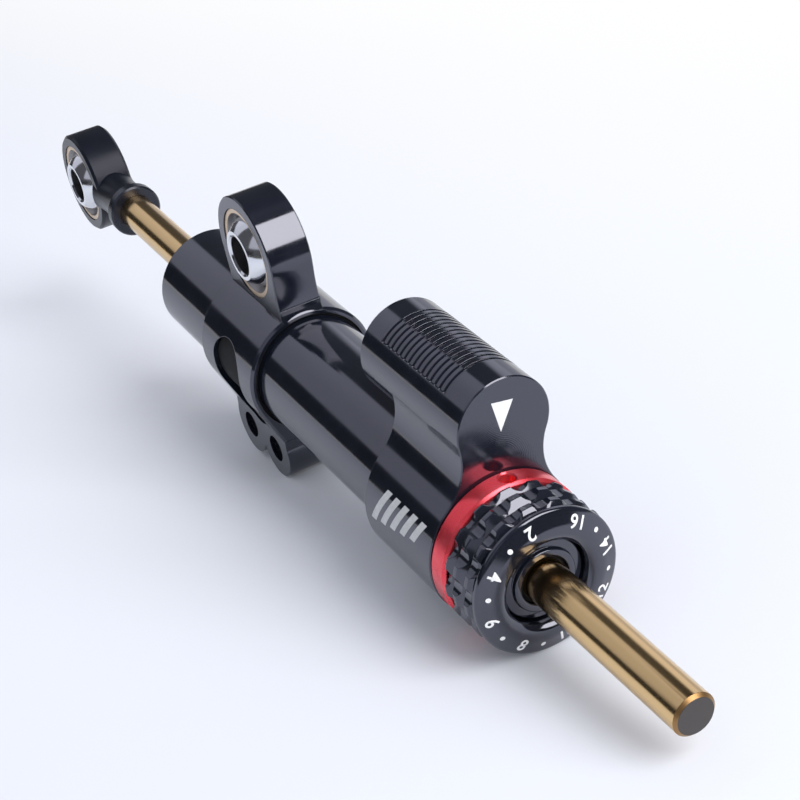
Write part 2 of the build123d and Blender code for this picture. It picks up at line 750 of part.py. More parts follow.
# Two external circlips, one on each side of the piston
with BuildPart() as piston_clips:
    for clip_start_x in (piston_rear_x - clip_thickness, piston_front_x):
        with BuildSketch(across(clip_start_x)):
            Circle(clip_outer_r)
            Circle(clip_groove_r + seat_gap, mode=Mode.SUBTRACT)
            with Locations((0, -clip_outer_r)):
                Rectangle(clip_mouth, clip_outer_r, mode=Mode.SUBTRACT)
        extrude(amount=clip_thickness)
save(piston_clips, "piston_clips")

# Split clamp: sleeve, eye lug with a flared foot, side windows and two pairs of ears
clamp_length = clamp_front_x - clamp_rear_x
clamp_mid_x = (clamp_front_x + clamp_rear_x) / 2
lug_flare_x = sqrt(lug_r ** 2 - lug_flare_rise ** 2)
flare_front_x = clamp_front_x - sleeve_edge_break
flare_rear_x = clamp_rear_x + sleeve_edge_break
ear_top_reach = sqrt(ear_face_y ** 2 + ear_top_drop ** 2)
flank_turn = atan2(ear_face_y, -ear_top_drop) - acos(sleeve_r / ear_top_reach)
flank_y = sleeve_r * sin(flank_turn)
flank_z = sleeve_r * cos(flank_turn)
with BuildPart() as clamp:
    with BuildSketch(across(clamp_rear_x)):
        Circle(sleeve_r)
        Polygon(
            (-flank_y, flank_z),
            (-ear_face_y, -ear_top_drop),
            (ear_face_y, -ear_top_drop),
            (flank_y, flank_z),
            align=None,
        )
    extrude(amount=clamp_length)
    chamfer(clamp.faces().sort_by(Axis.X)[-1].edges(), sleeve_edge_break)
    chamfer(clamp.faces().sort_by(Axis.X)[0].edges(), sleeve_edge_break)
    with BuildSketch(Plane.XY):
        lug_half = bearing_housing_width / 2
        Polygon(
            (0, -lug_half),
            (lug_r - lug_edge_break, -lug_half),
            (lug_r, lug_edge_break - lug_half),
            (lug_r, lug_half - lug_edge_break),
            (lug_r - lug_edge_break, lug_half),
            (0, lug_half),
            align=None,
        )
    revolve(axis=Axis.Y)
    with BuildSketch(Plane.XZ):
        with BuildLine():
            Line((-lug_flare_x, -lug_flare_rise), (lug_flare_x, -lug_flare_rise))
            Spline(
                (lug_flare_x, -lug_flare_rise),
                (flare_front_x, lug_flare_end_z),
                tangents=((-lug_flare_rise, -lug_flare_x), (lug_flare_x, -lug_flare_rise)),
            )
            Line((flare_front_x, lug_flare_end_z), (flare_front_x, axis_z))
            Line((flare_front_x, axis_z), (flare_rear_x, axis_z))
            Line((flare_rear_x, axis_z), (flare_rear_x, lug_flare_end_z))
            Line((flare_rear_x, lug_flare_end_z), (-lug_flare_x, -lug_flare_rise))
        make_face()
    extrude(amount=lug_half, both=True)
    with BuildSketch(Plane.XZ.offset(-ear_face_y)):
        with Locations((clamp_mid_x, axis_z - screw_drop)):
            with GridLocations(screw_spacing, 0, 2, 1):
                Circle(ear_lobe_r)
        with Locations((clamp_mid_x, axis_z - screw_drop + ear_lobe_r)):
            Rectangle(clamp_length - 2 * sleeve_edge_break, 2 * ear_lobe_r)
    extrude(amount=2 * ear_face_y)
    with BuildSketch(across(clamp_rear_x)):
        Circle(liner_r + seat_gap)
        with Locations((0, -sleeve_r)):
            Rectangle(ear_gap, 2 * sleeve_r)
    extrude(amount=clamp_length, mode=Mode.SUBTRACT)
    with BuildSketch(Plane.XZ):
        Circle(race_r + seat_gap)
    extrude(amount=bearing_housing_width, both=True, mode=Mode.SUBTRACT)
    for side_plane in (Plane.XZ.offset(window_floor_y), Plane.XZ.offset(-2 * sleeve_r)):
        with BuildSketch(side_plane):
            with Locations((clamp_mid_x, axis_z + (window_top_z + window_bottom_z) / 2)):
                SlotOverall(window_top_z - window_bottom_z, window_width, rotation=90)
        extrude(amount=2 * sleeve_r - window_floor_y, mode=Mode.SUBTRACT)
    with BuildSketch(Plane.XZ.offset(ear_face_y)):
        with Locations((clamp_mid_x, axis_z - screw_drop)):
            with GridLocations(screw_spacing, 0, 2, 1):
                Circle(screw_head_r + spring_gap)
    extrude(amount=-screw_recess - screw_head_height, mode=Mode.SUBTRACT)
    with BuildSketch(Plane.XZ.offset(ear_face_y)):
        with Locations((clamp_mid_x, axis_z - screw_drop)):
            with GridLocations(screw_spacing, 0, 2, 1):
                Circle(screw_shank_r + seat_gap)
    extrude(amount=-2 * ear_face_y, mode=Mode.SUBTRACT)
save(clamp, "clamp")

# Split liner between the clamp's bore and the tube
with BuildPart() as clamp_liner:
    with BuildSketch(across(clamp_rear_x + liner_inset)):
        Circle(liner_r)
        Circle(tube_r + seat_gap, mode=Mode.SUBTRACT)
        with Locations((0, -liner_r)):
            Rectangle(ear_gap, liner_r, mode=Mode.SUBTRACT)
    extrude(amount=clamp_length - 2 * liner_inset)
save(clamp_liner, "clamp_liner")

# Two socket screws across the clamp's ears
with BuildPart() as clamp_screws:
    screw_top = Plane.XZ.offset(ear_face_y - screw_recess)
    with BuildSketch(screw_top):
        with Locations((clamp_mid_x, axis_z - screw_drop)):
            with GridLocations(screw_spacing, 0, 2, 1):
                Circle(screw_head_r)
    extrude(amount=-screw_head_height)
    with BuildSketch(screw_top):
        with Locations((clamp_mid_x, axis_z - screw_drop)):
            with GridLocations(screw_spacing, 0, 2, 1):
                Circle(screw_shank_r)
    extrude(amount=-2 * ear_face_y + screw_recess + screw_tip_inset)
    with BuildSketch(screw_top):
        with Locations((clamp_mid_x, axis_z - screw_drop)):
            with GridLocations(screw_spacing, 0, 2, 1):
                RegularPolygon(screw_key_r, 6)
    extrude(amount=-screw_key_depth, mode=Mode.SUBTRACT)
save(clamp_screws, "clamp_screws")


def bearing_race(center_x, center_z):
    """Builds the half section of a race: a plain outside, a hollow sphere inside."""
    half = bearing_housing_width / 2
    cup_r = ball_r + run_gap
    mouth_r = sqrt(cup_r ** 2 - half ** 2)
    with BuildLine() as outline:
        Line((center_x + mouth_r, center_z - half), (center_x + race_r - race_break, center_z - half))
        Line((center_x + race_r - race_break, center_z - half), (center_x + race_r, center_z - half + race_break))
        Line((center_x + race_r, center_z - half + race_break), (center_x + race_r, center_z + half - race_break))
        Line((center_x + race_r, center_z + half - race_break), (center_x + race_r - race_break, center_z + half))
        Line((center_x + race_r - race_break, center_z + half), (center_x + mouth_r, center_z + half))
        ThreePointArc((center_x + mouth_r, center_z + half), (center_x + cup_r, center_z), (center_x + mouth_r, center_z - half))
    make_face(outline.edges())


def bearing_ball(center_x):
    """Builds the half section of a bored ball, flat on both sides."""
    half = ball_width / 2
    flat_r = sqrt(ball_r ** 2 - half ** 2)
    bore_edge_r = ball_bore_r + ball_bore_break
    with BuildLine() as outline:
        Line((center_x + ball_bore_r, -half + ball_bore_break), (center_x + bore_edge_r, -half))
        Line((center_x + bore_edge_r, -half), (center_x + flat_r, -half))
        ThreePointArc((center_x + flat_r, -half), (center_x + ball_r, 0), (center_x + flat_r, half))
        Line((center_x + flat_r, half), (center_x + bore_edge_r, half))
        Line((center_x + bore_edge_r, half), (center_x + ball_bore_r, half - ball_bore_break))
        Line((center_x + ball_bore_r, half - ball_bore_break), (center_x + ball_bore_r, -half + ball_bore_break))
    make_face(outline.edges())


# Spherical bearing in the clamp eye
with BuildPart() as clamp_race:
    with BuildSketch(Plane.XY):
        bearing_race(0, 0)
    revolve(axis=Axis.Y)
save(clamp_race, "clamp_race")

with BuildPart() as clamp_ball:
    with BuildSketch(Plane.XY):
        bearing_ball(0)
    revolve(axis=Axis.Y)
save(clamp_ball, "clamp_ball")

# Rod eye: flat ring head, waisted neck and a round shank bored for the rod
eye_axis = Axis((eye_x, 0, axis_z), (0, 1, 0))
with BuildPart() as rod_eye:
    with BuildSketch(Plane.XZ):
        with Locations((eye_x, axis_z)):
            Circle(lug_r)
    extrude(amount=bearing_housing_width / 2, both=True)
    chamfer(rod_eye.edges().filter_by(GeomType.CIRCLE), lug_edge_break)
    with BuildSketch(rod_profile):
        with BuildLine():
            Line((eye_x, 0), (shank_front_x, 0))
            Line((shank_front_x, 0), (shank_front_x, shank_tail_r))
            Spline(
                (shank_front_x, shank_tail_r),
                (neck_x, neck_half_width),
                (eye_x, shank_r + neck_half_width / 2),
            )
            Line((eye_x, shank_r + neck_half_width / 2), (eye_x, 0))
        make_face()
    revolve(axis=rod_axis)
    with BuildSketch(Plane.XZ):
        with Locations((eye_x, axis_z)):
            Circle(race_r + seat_gap)
    extrude(amount=2 * lug_r, both=True, mode=Mode.SUBTRACT)
    with BuildSketch(across(rod_rear_x)):
        Circle(rod_r + seat_gap)
    extrude(amount=shank_front_x - rod_rear_x, mode=Mode.SUBTRACT)
save(rod_eye, "rod_eye")

with BuildPart() as eye_collar:
    with BuildSketch(across(shank_front_x)):
        Circle(collar_r)
        Circle(rod_r + seat_gap, mode=Mode.SUBTRACT)
    extrude(amount=collar_front_x - shank_front_x)
    chamfer(eye_collar.edges().filter_by(GeomType.CIRCLE).group_by(SortBy.RADIUS)[-1], edge_break)
save(eye_collar, "eye_collar")

with BuildPart() as eye_race:
    with BuildSketch(Plane.XY.offset(axis_z)):
        bearing_race(eye_x, 0)
    revolve(axis=eye_axis)
save(eye_race, "eye_race")

with BuildPart() as rod_eye_ball:
    with BuildSketch(Plane.XY.offset(axis_z)):
        bearing_ball(eye_x)
    revolve(axis=eye_axis)
save(rod_eye_ball, "rod_eye_ball")
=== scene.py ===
"""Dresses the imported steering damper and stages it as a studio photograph.

Lengths are metres, except in section tables, which are millimetres. +X runs along the rod toward
the dial, +Z up toward the clamp eye, and the origin is the centre of the clamp eye's ball bore.
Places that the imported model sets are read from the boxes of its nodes.
"""
import json
import logging
import math
from dataclasses import dataclass, replace
from enum import Enum
from typing import Iterable, Optional, Sequence, Union

import bmesh
import bpy
import numpy as np
from mathutils import Matrix, Vector

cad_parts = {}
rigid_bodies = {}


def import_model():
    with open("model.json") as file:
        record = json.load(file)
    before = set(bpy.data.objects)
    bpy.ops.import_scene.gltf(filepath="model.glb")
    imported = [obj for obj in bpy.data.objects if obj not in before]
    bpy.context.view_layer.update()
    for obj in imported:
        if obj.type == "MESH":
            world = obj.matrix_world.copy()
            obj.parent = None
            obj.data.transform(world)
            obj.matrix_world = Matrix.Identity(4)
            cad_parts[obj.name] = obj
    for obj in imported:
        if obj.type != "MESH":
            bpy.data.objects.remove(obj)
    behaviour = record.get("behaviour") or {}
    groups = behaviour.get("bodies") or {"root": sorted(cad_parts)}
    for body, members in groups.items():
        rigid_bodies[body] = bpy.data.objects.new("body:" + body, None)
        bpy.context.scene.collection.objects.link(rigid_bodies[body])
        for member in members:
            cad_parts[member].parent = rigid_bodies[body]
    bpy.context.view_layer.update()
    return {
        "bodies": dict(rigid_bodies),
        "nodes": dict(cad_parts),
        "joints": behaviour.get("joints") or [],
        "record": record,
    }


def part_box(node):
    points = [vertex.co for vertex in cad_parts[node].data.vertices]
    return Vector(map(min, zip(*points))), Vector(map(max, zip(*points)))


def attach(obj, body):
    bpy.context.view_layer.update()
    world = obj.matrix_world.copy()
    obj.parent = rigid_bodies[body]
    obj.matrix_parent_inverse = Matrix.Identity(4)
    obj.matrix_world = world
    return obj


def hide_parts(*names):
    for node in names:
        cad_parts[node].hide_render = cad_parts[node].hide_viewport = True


LOG = logging.getLogger("steering_damper")
MM = 0.001
Color = tuple[float, float, float]
Number = Union[float, "Wire"]
Tint = Union[Color, "Wire"]
Options = Optional[dict]
WHITE: Color = (1.0, 1.0, 1.0)


def shaded(color: Color, factor: float) -> Color:
    """Multiplies a colour."""
    return tuple(factor * part for part in color)


# Shader graphs


class Axis(Enum):
    """The line that a distance is measured from, as the coordinates that count."""

    X = (0.0, 1.0, 1.0)
    Y = (1.0, 0.0, 1.0)
    Z = (1.0, 1.0, 0.0)


class Wire:
    """An output socket whose arithmetic adds Math nodes to its graph."""

    def __init__(self, graph: "Graph", socket: bpy.types.NodeSocket) -> None:
        """Keeps the graph and the socket."""
        self.graph = graph
        self.socket = socket

    def math(self, operation: str, *values: Number) -> "Wire":
        """Adds a Math node with this value as its first input."""
        return self.graph.math(operation, self, *values)

    def __add__(self, other: Number) -> "Wire":
        """Adds a value."""
        return self.math("ADD", other)

    __radd__ = __add__

    def __sub__(self, other: Number) -> "Wire":
        """Takes a value away."""
        return self.math("SUBTRACT", other)

    def __rsub__(self, other: Number) -> "Wire":
        """Takes this value away from a number."""
        return self.graph.math("SUBTRACT", other, self)

    def __mul__(self, other: Number) -> "Wire":
        """Multiplies by a value."""
        return self.math("MULTIPLY", other)

    __rmul__ = __mul__

    def __abs__(self) -> "Wire":
        """Drops the sign."""
        return self.math("ABSOLUTE")

    def step(self, low: float, high: float) -> "Wire":
        """Rises smoothly from 0 at low to 1 at high, where a high below low gives a fall."""
        inputs = {"Value": self, "From Min": low, "From Max": high}
        return self.graph.value("ShaderNodeMapRange", {"interpolation_type": "SMOOTHSTEP"}, inputs)

    def within(self, low: float, high: float, soft: float) -> "Wire":
        """Gives 1 between two values, with each end faded over the soft width on both sides."""
        return self.step(low - soft, low + soft) * self.step(high + soft, high - soft)


class Graph:
    """Builds one node tree from typed calls."""

    def __init__(self, tree: bpy.types.NodeTree) -> None:
        """Empties a material's or world's tree."""
        self.tree = tree
        tree.nodes.clear()

    def add(self, kind: str, settings: Options = None, inputs: Options = None) -> bpy.types.Node:
        """Adds a node, sets it, then feeds its sockets.

        Args:
            kind: the node's type.
            settings: its properties.
            inputs: values or links by socket name or index.

        Returns:
            The new node.
        """
        node = self.tree.nodes.new(kind)
        for key, value in (settings or {}).items():
            setattr(node, key, value)
        for key, value in (inputs or {}).items():
            socket = node.inputs[key]
            if isinstance(value, Wire):
                self.tree.links.new(value.socket, socket)
            elif isinstance(value, tuple) and len(value) < len(socket.default_value):
                socket.default_value = (*value, 1.0)
            else:
                socket.default_value = value
        return node

    def value(
        self, kind: str, settings: Options = None, inputs: Options = None, output: Union[int, str] = 0
    ) -> Wire:
        """Adds a node and wraps one of its outputs."""
        return Wire(self, self.add(kind, settings, inputs).outputs[output])

    def math(self, operation: str, *values: Number) -> Wire:
        """Adds a Math node."""
        return self.value("ShaderNodeMath", {"operation": operation}, dict(enumerate(values)))

    def vector(self, operation: str, *values: Tint, output: str = "Vector") -> Wire:
        """Adds a Vector Math node."""
        return self.value("ShaderNodeVectorMath", {"operation": operation}, dict(enumerate(values)), output)

    def mix(self, factor: Number, low: Tint, high: Tint) -> Wire:
        """Mixes two colours, the first at a factor of 0 and the second at 1."""
        return self.value("ShaderNodeMix", {"data_type": "RGBA"}, {0: factor, 6: low, 7: high}, 2)

    def blend(self, factor: Number, low: Number, high: Number) -> Wire:
        """Mixes two values, the first at a factor of 0 and the second at 1."""
        return self.value("ShaderNodeMix", {"data_type": "FLOAT"}, {0: factor, 2: low, 3: high})

    def place(self) -> Wire:
        """Gives the point in the row frame."""
        return self.value("ShaderNodeTexCoord", output="Object")

    def ray(self, kind: str) -> Wire:
        """Gives 1 to rays of one kind, such as Camera or Glossy."""
        return self.value("ShaderNodeLightPath", output=f"Is {kind} Ray")

    def split(self, vector: Wire) -> tuple[Wire, Wire, Wire]:
        """Splits a vector into its X, Y and Z."""
        node = self.add("ShaderNodeSeparateXYZ", inputs={0: vector})
        return tuple(Wire(self, socket) for socket in node.outputs)

    def away(self, point: Color, axis: Axis) -> Wire:
        """Measures the distance in metres from the line through a point along an axis."""
        offset = self.vector("SUBTRACT", self.place(), point)
        return self.vector("LENGTH", self.vector("MULTIPLY", offset, axis.value), output="Value")

    def noise(self, scale: float, stretch: Color = (1.0, 1.0, 1.0), detail: float = 2.0) -> Wire:
        """Makes noise from 0 to 1, with scale features per metre and a factor on each axis."""
        inputs = {"Vector": self.vector("MULTIPLY", self.place(), stretch), "Scale": scale, "Detail": detail}
        return self.value("ShaderNodeTexNoise", inputs=inputs)

    def rings(self, distance: Wire, pitch: float) -> Wire:
        """Makes waves from -1 to 1 along a distance, one to each pitch in metres."""
        return (distance * (2 * math.pi / pitch)).math("SINE")

    def bevel(self, radius: float) -> Wire:
        """Gives the normal, softened near sharp edges over a radius in metres."""
        return self.value("ShaderNodeBevel", {"samples": 6}, {"Radius": radius})

    def bump(self, height: Wire, depth: float, normal: Wire, strength: float) -> Wire:
        """Tips a normal by a height from 0 to 1, with the depth in metres of 1."""
        inputs = {"Height": height, "Distance": depth, "Normal": normal, "Strength": strength}
        return self.value("ShaderNodeBump", inputs=inputs)


# Finishes


class Finish:
    """A surface finish that can build its material."""

    def make(self, name: str) -> bpy.types.Material:
        """Builds the material.

        Args:
            name: the material's name.

        Returns:
            The material.
        """
        material = bpy.data.materials.new(name)
        material.use_nodes = True
        graph = Graph(material.node_tree)
        graph.add("ShaderNodeOutputMaterial", inputs={"Surface": self.surface(graph)})
        return material

    def surface(self, graph: Graph) -> Wire:
        """Adds the surface's shader."""
        return graph.value("ShaderNodeBsdfPrincipled", inputs=self.paint(graph))

    def paint(self, graph: Graph) -> dict:
        """Gives the shader's inputs by socket name."""
        raise NotImplementedError


@dataclass(frozen=True)
class BlackAnodise(Finish):
    """Glossy black anodised aluminium with a faint lathe pattern along the rod.

    The flat sides that face along Y can be satin, and the face at arc_face_x can carry fine milled
    arcs round arc_center.
    """

    color: Color = (0.006, 0.0075, 0.013)
    roughness: float = 0.075
    edge_radius: float = 0.15 * MM
    ior: float = 1.92
    sheen: float = 1.0
    sheen_tint: Color = (0.86, 0.87, 1.0)
    satin_side: float = 0.0
    satin_color: Color = (0.040, 0.042, 0.050)
    arc_center: Optional[Color] = None
    arc_face_x: float = 0.0
    arc_pitch: float = 0.34 * MM
    arc_from: float = 4.5 * MM
    arc_to: float = 9.5 * MM
    arc_fade: float = 2.5 * MM

    def paint(self, graph: Graph) -> dict:
        """Gives the shader's inputs.

        Args:
            graph: the graph to build in.

        Returns:
            Inputs by socket name.
        """
        cloud = graph.noise(160.0)
        grain = graph.noise(2600.0, (0.12, 1.0, 1.0), 3.0)
        rough = self.roughness + 0.05 * cloud.step(0.35, 0.8) + 0.03 * grain
        normal = graph.bump(grain, 0.0012 * MM, graph.bevel(self.edge_radius), 0.5)
        color = graph.mix(cloud.step(0.3, 0.8), self.color, shaded(self.color, 1.35))
        if self.satin_side:
            facing = graph.split(graph.value("ShaderNodeTexCoord", output="Normal"))[1]
            side = abs(facing).step(0.96, 0.995)
            rough = graph.blend(side, rough, self.satin_side)
            color = graph.mix(side, color, self.satin_color)
            brushed = graph.noise(1500.0, (1.0, 1.0, 0.08), 4.0)
            normal = graph.bump(brushed * side, 0.006 * MM, normal, 0.6)
        if self.arc_center:
            across = graph.split(graph.place())[0]
            face = across.step(self.arc_face_x - 0.15 * MM, self.arc_face_x - 0.05 * MM)
            reach = graph.away(self.arc_center, Axis.X)
            band = reach.within(self.arc_from, self.arc_to, self.arc_fade) * face
            arcs = graph.rings(reach, self.arc_pitch).step(-0.6, 1.0)
            normal = graph.bump(arcs * band, 0.010 * MM, normal, 0.5)
            rough = rough + 0.05 * face
        gloss = {"IOR": self.ior, "Specular Tint": shaded(self.sheen_tint, self.sheen)}
        return {"Base Color": color, "Roughness": rough, "Normal": normal, **gloss}


@dataclass(frozen=True)
class RedAnodise(Finish):
    """Satin red anodised aluminium with fine turning marks round the rod's axis."""

    color: Color = (0.80, 0.055, 0.078)
    pale: Color = (0.92, 0.16, 0.19)
    roughness: float = 0.24
    metallic: float = 0.72
    ior: float = 1.7
    pitch: float = 0.11 * MM

    def paint(self, graph: Graph) -> dict:
        """Gives the shader's inputs.

        Args:
            graph: the graph to build in.

        Returns:
            Inputs by socket name.
        """
        cloud = graph.noise(220.0)
        along = graph.split(graph.place())[0]
        turned = graph.rings(along, self.pitch) * 0.5 + 0.5
        normal = graph.bump(turned, 0.0010 * MM, graph.bevel(0.22 * MM), 0.5)
        color = graph.mix(cloud.step(0.4, 0.9), self.color, self.pale)
        gloss = {"Roughness": self.roughness + 0.08 * cloud, "Metallic": self.metallic, "IOR": self.ior}
        return {"Base Color": color, "Normal": normal, **gloss}


@dataclass(frozen=True)
class GoldNitride(Finish):
    """Mirror-ground rod with a gold nitride coat, a worn chamfer and a bare steel tip."""

    tip_x: float
    chamfer: float = 0.64 * MM
    gold: Color = (0.69, 0.48, 0.235)
    brown: Color = (0.34, 0.20, 0.085)
    tip: Color = (0.115, 0.105, 0.10)

    def paint(self, graph: Graph) -> dict:
        """Gives the shader's inputs.

        Args:
            graph: the graph to build in.

        Returns:
            Inputs by socket name.
        """
        along = graph.split(graph.place())[0]
        streak = graph.noise(900.0, (0.02, 1.0, 1.0), 3.0)
        cloud = graph.noise(90.0, (0.4, 1.0, 1.0))
        bare = along.step(self.tip_x - 0.05 * MM, self.tip_x - 0.02 * MM)
        worn = along.step(self.tip_x - self.chamfer, self.tip_x - self.chamfer + 0.06 * MM)
        coat = graph.mix(streak.step(0.52, 0.80) * cloud.step(0.35, 0.7), self.gold, self.brown)
        color = graph.mix(bare, graph.mix(worn, coat, self.brown), self.tip)
        rough = graph.blend(worn, 0.15 + 0.07 * streak, 0.42)
        ground = graph.noise(4200.0, (1.0, 0.05, 0.05), 2.0)
        normal = graph.bump(ground, 0.0005 * MM, graph.bevel(0.12 * MM), 0.4)
        return {"Base Color": color, "Roughness": rough, "Metallic": 1.0, "Normal": normal}


@dataclass(frozen=True)
class TurnedMetal(Finish):
    """Metal turned on a lathe: rings round an axis, and a second colour inside core_r (painted shade in a
    ball's bore).
    """

    color: Color
    roughness: float
    metallic: float = 1.0
    center: Color = (0.0, 0.0, 0.0)
    axis: Axis = Axis.X
    pitch: float = 0.16 * MM
    depth: float = 0.002 * MM
    tint: float = 0.75
    edge_radius: float = 0.15 * MM
    core_r: float = 0.0
    core: Color = (0.18, 0.18, 0.19)
    core_roughness: float = 0.4

    def paint(self, graph: Graph) -> dict:
        """Gives the shader's inputs.

        Args:
            graph: the graph to build in.

        Returns:
            Inputs by socket name.
        """
        cloud = graph.noise(300.0, detail=3.0)
        reach = graph.away(self.center, self.axis)
        turned = graph.rings(reach, self.pitch) * 0.5 + 0.5
        color = graph.mix(cloud.step(0.35, 0.85), self.color, shaded(self.color, self.tint))
        rough = self.roughness + 0.10 * cloud
        # Inside core_r a second colour: on a ball it is painted shade darkening its bore, on a race the grey
        # inner cone.
        if self.core_r:
            inner = reach.step(self.core_r + 0.03 * MM, self.core_r)
            color = graph.mix(inner, color, self.core)
            rough = graph.blend(inner, rough, self.core_roughness)
        normal = graph.bump(turned, self.depth, graph.bevel(self.edge_radius), 0.6)
        return {"Base Color": color, "Roughness": rough, "Metallic": self.metallic, "Normal": normal}


@dataclass(frozen=True)
class Moulded(Finish):
    """Rubber or bearing plastic with a fine matt grain."""

    color: Color
    roughness: float

    def paint(self, graph: Graph) -> dict:
        """Gives the shader's inputs.

        Args:
            graph: the graph to build in.

        Returns:
            Inputs by socket name.
        """
        grain = graph.noise(2200.0, detail=4.0)
        color = graph.mix(grain, self.color, shaded(self.color, 1.5))
        normal = graph.bump(grain, 0.01 * MM, graph.bevel(0.15 * MM), 0.5)
        return {"Base Color": color, "Roughness": self.roughness + 0.1 * grain, "Normal": normal}


@dataclass(frozen=True)
class Print(Finish):
    """Screen-printed paint with slightly uneven cover."""

    color: Color
    thin: float = 0.85

    def paint(self, graph: Graph) -> dict:
        """Gives the shader's inputs.

        Args:
            graph: the graph to build in.

        Returns:
            Inputs by socket name.
        """
        cover = graph.noise(1800.0, detail=3.0)
        color = graph.mix(cover.step(0.3, 0.8), shaded(self.color, self.thin), self.color)
        return {"Base Color": color, "Roughness": 0.42 + 0.15 * cover}


@dataclass(frozen=True)
class FloorFinish(Finish):
    """Pale paper that fades to the white backdrop, with a dark flag in front that only gloss sees."""

    color: Color = (0.80, 0.83, 0.91)
    near_color: Color = (0.70, 0.735, 0.84)
    middle: Color = (0.03, 0.0, 0.0)
    flag_dark: float = 0.92

    def surface(self, graph: Graph) -> Wire:
        """Mixes the paper with the backdrop.

        The paper is painted darker toward the camera's near left, as painted shade. It turns white far
        from the middle and toward the far right.

        Args:
            graph: the graph to build in.

        Returns:
            The surface's shader.
        """
        x_place, y_place, _ = graph.split(graph.place())
        color = graph.mix(graph.noise(500.0) * 0.3, self.color, shaded(self.color, 0.98))
        # Painted shade: the paper darkens toward the camera's near left.
        near = (x_place * 0.5 - y_place * 0.87).step(0.04, 0.24)
        color = graph.mix(near, color, self.near_color)
        paper = graph.value("ShaderNodeBsdfDiffuse", inputs={"Color": color})
        gloss = graph.ray("Glossy")
        seen = graph.ray("Camera").math("MAXIMUM", gloss)
        corner = (x_place * -0.2 + y_place * 0.98).step(0.01, 0.26)
        far = graph.away(self.middle, Axis.Z).step(0.25, 0.9).math("MAXIMUM", corner)
        flag = x_place.step(0.150, 0.190) * gloss
        backdrop = {"Color": WHITE, "Strength": 1 - self.flag_dark * flag}
        white = graph.value("ShaderNodeEmission", inputs=backdrop)
        share = (far * seen).math("MAXIMUM", flag)
        return graph.value("ShaderNodeMixShader", inputs={0: share, 1: paper, 2: white})


# Surfaces


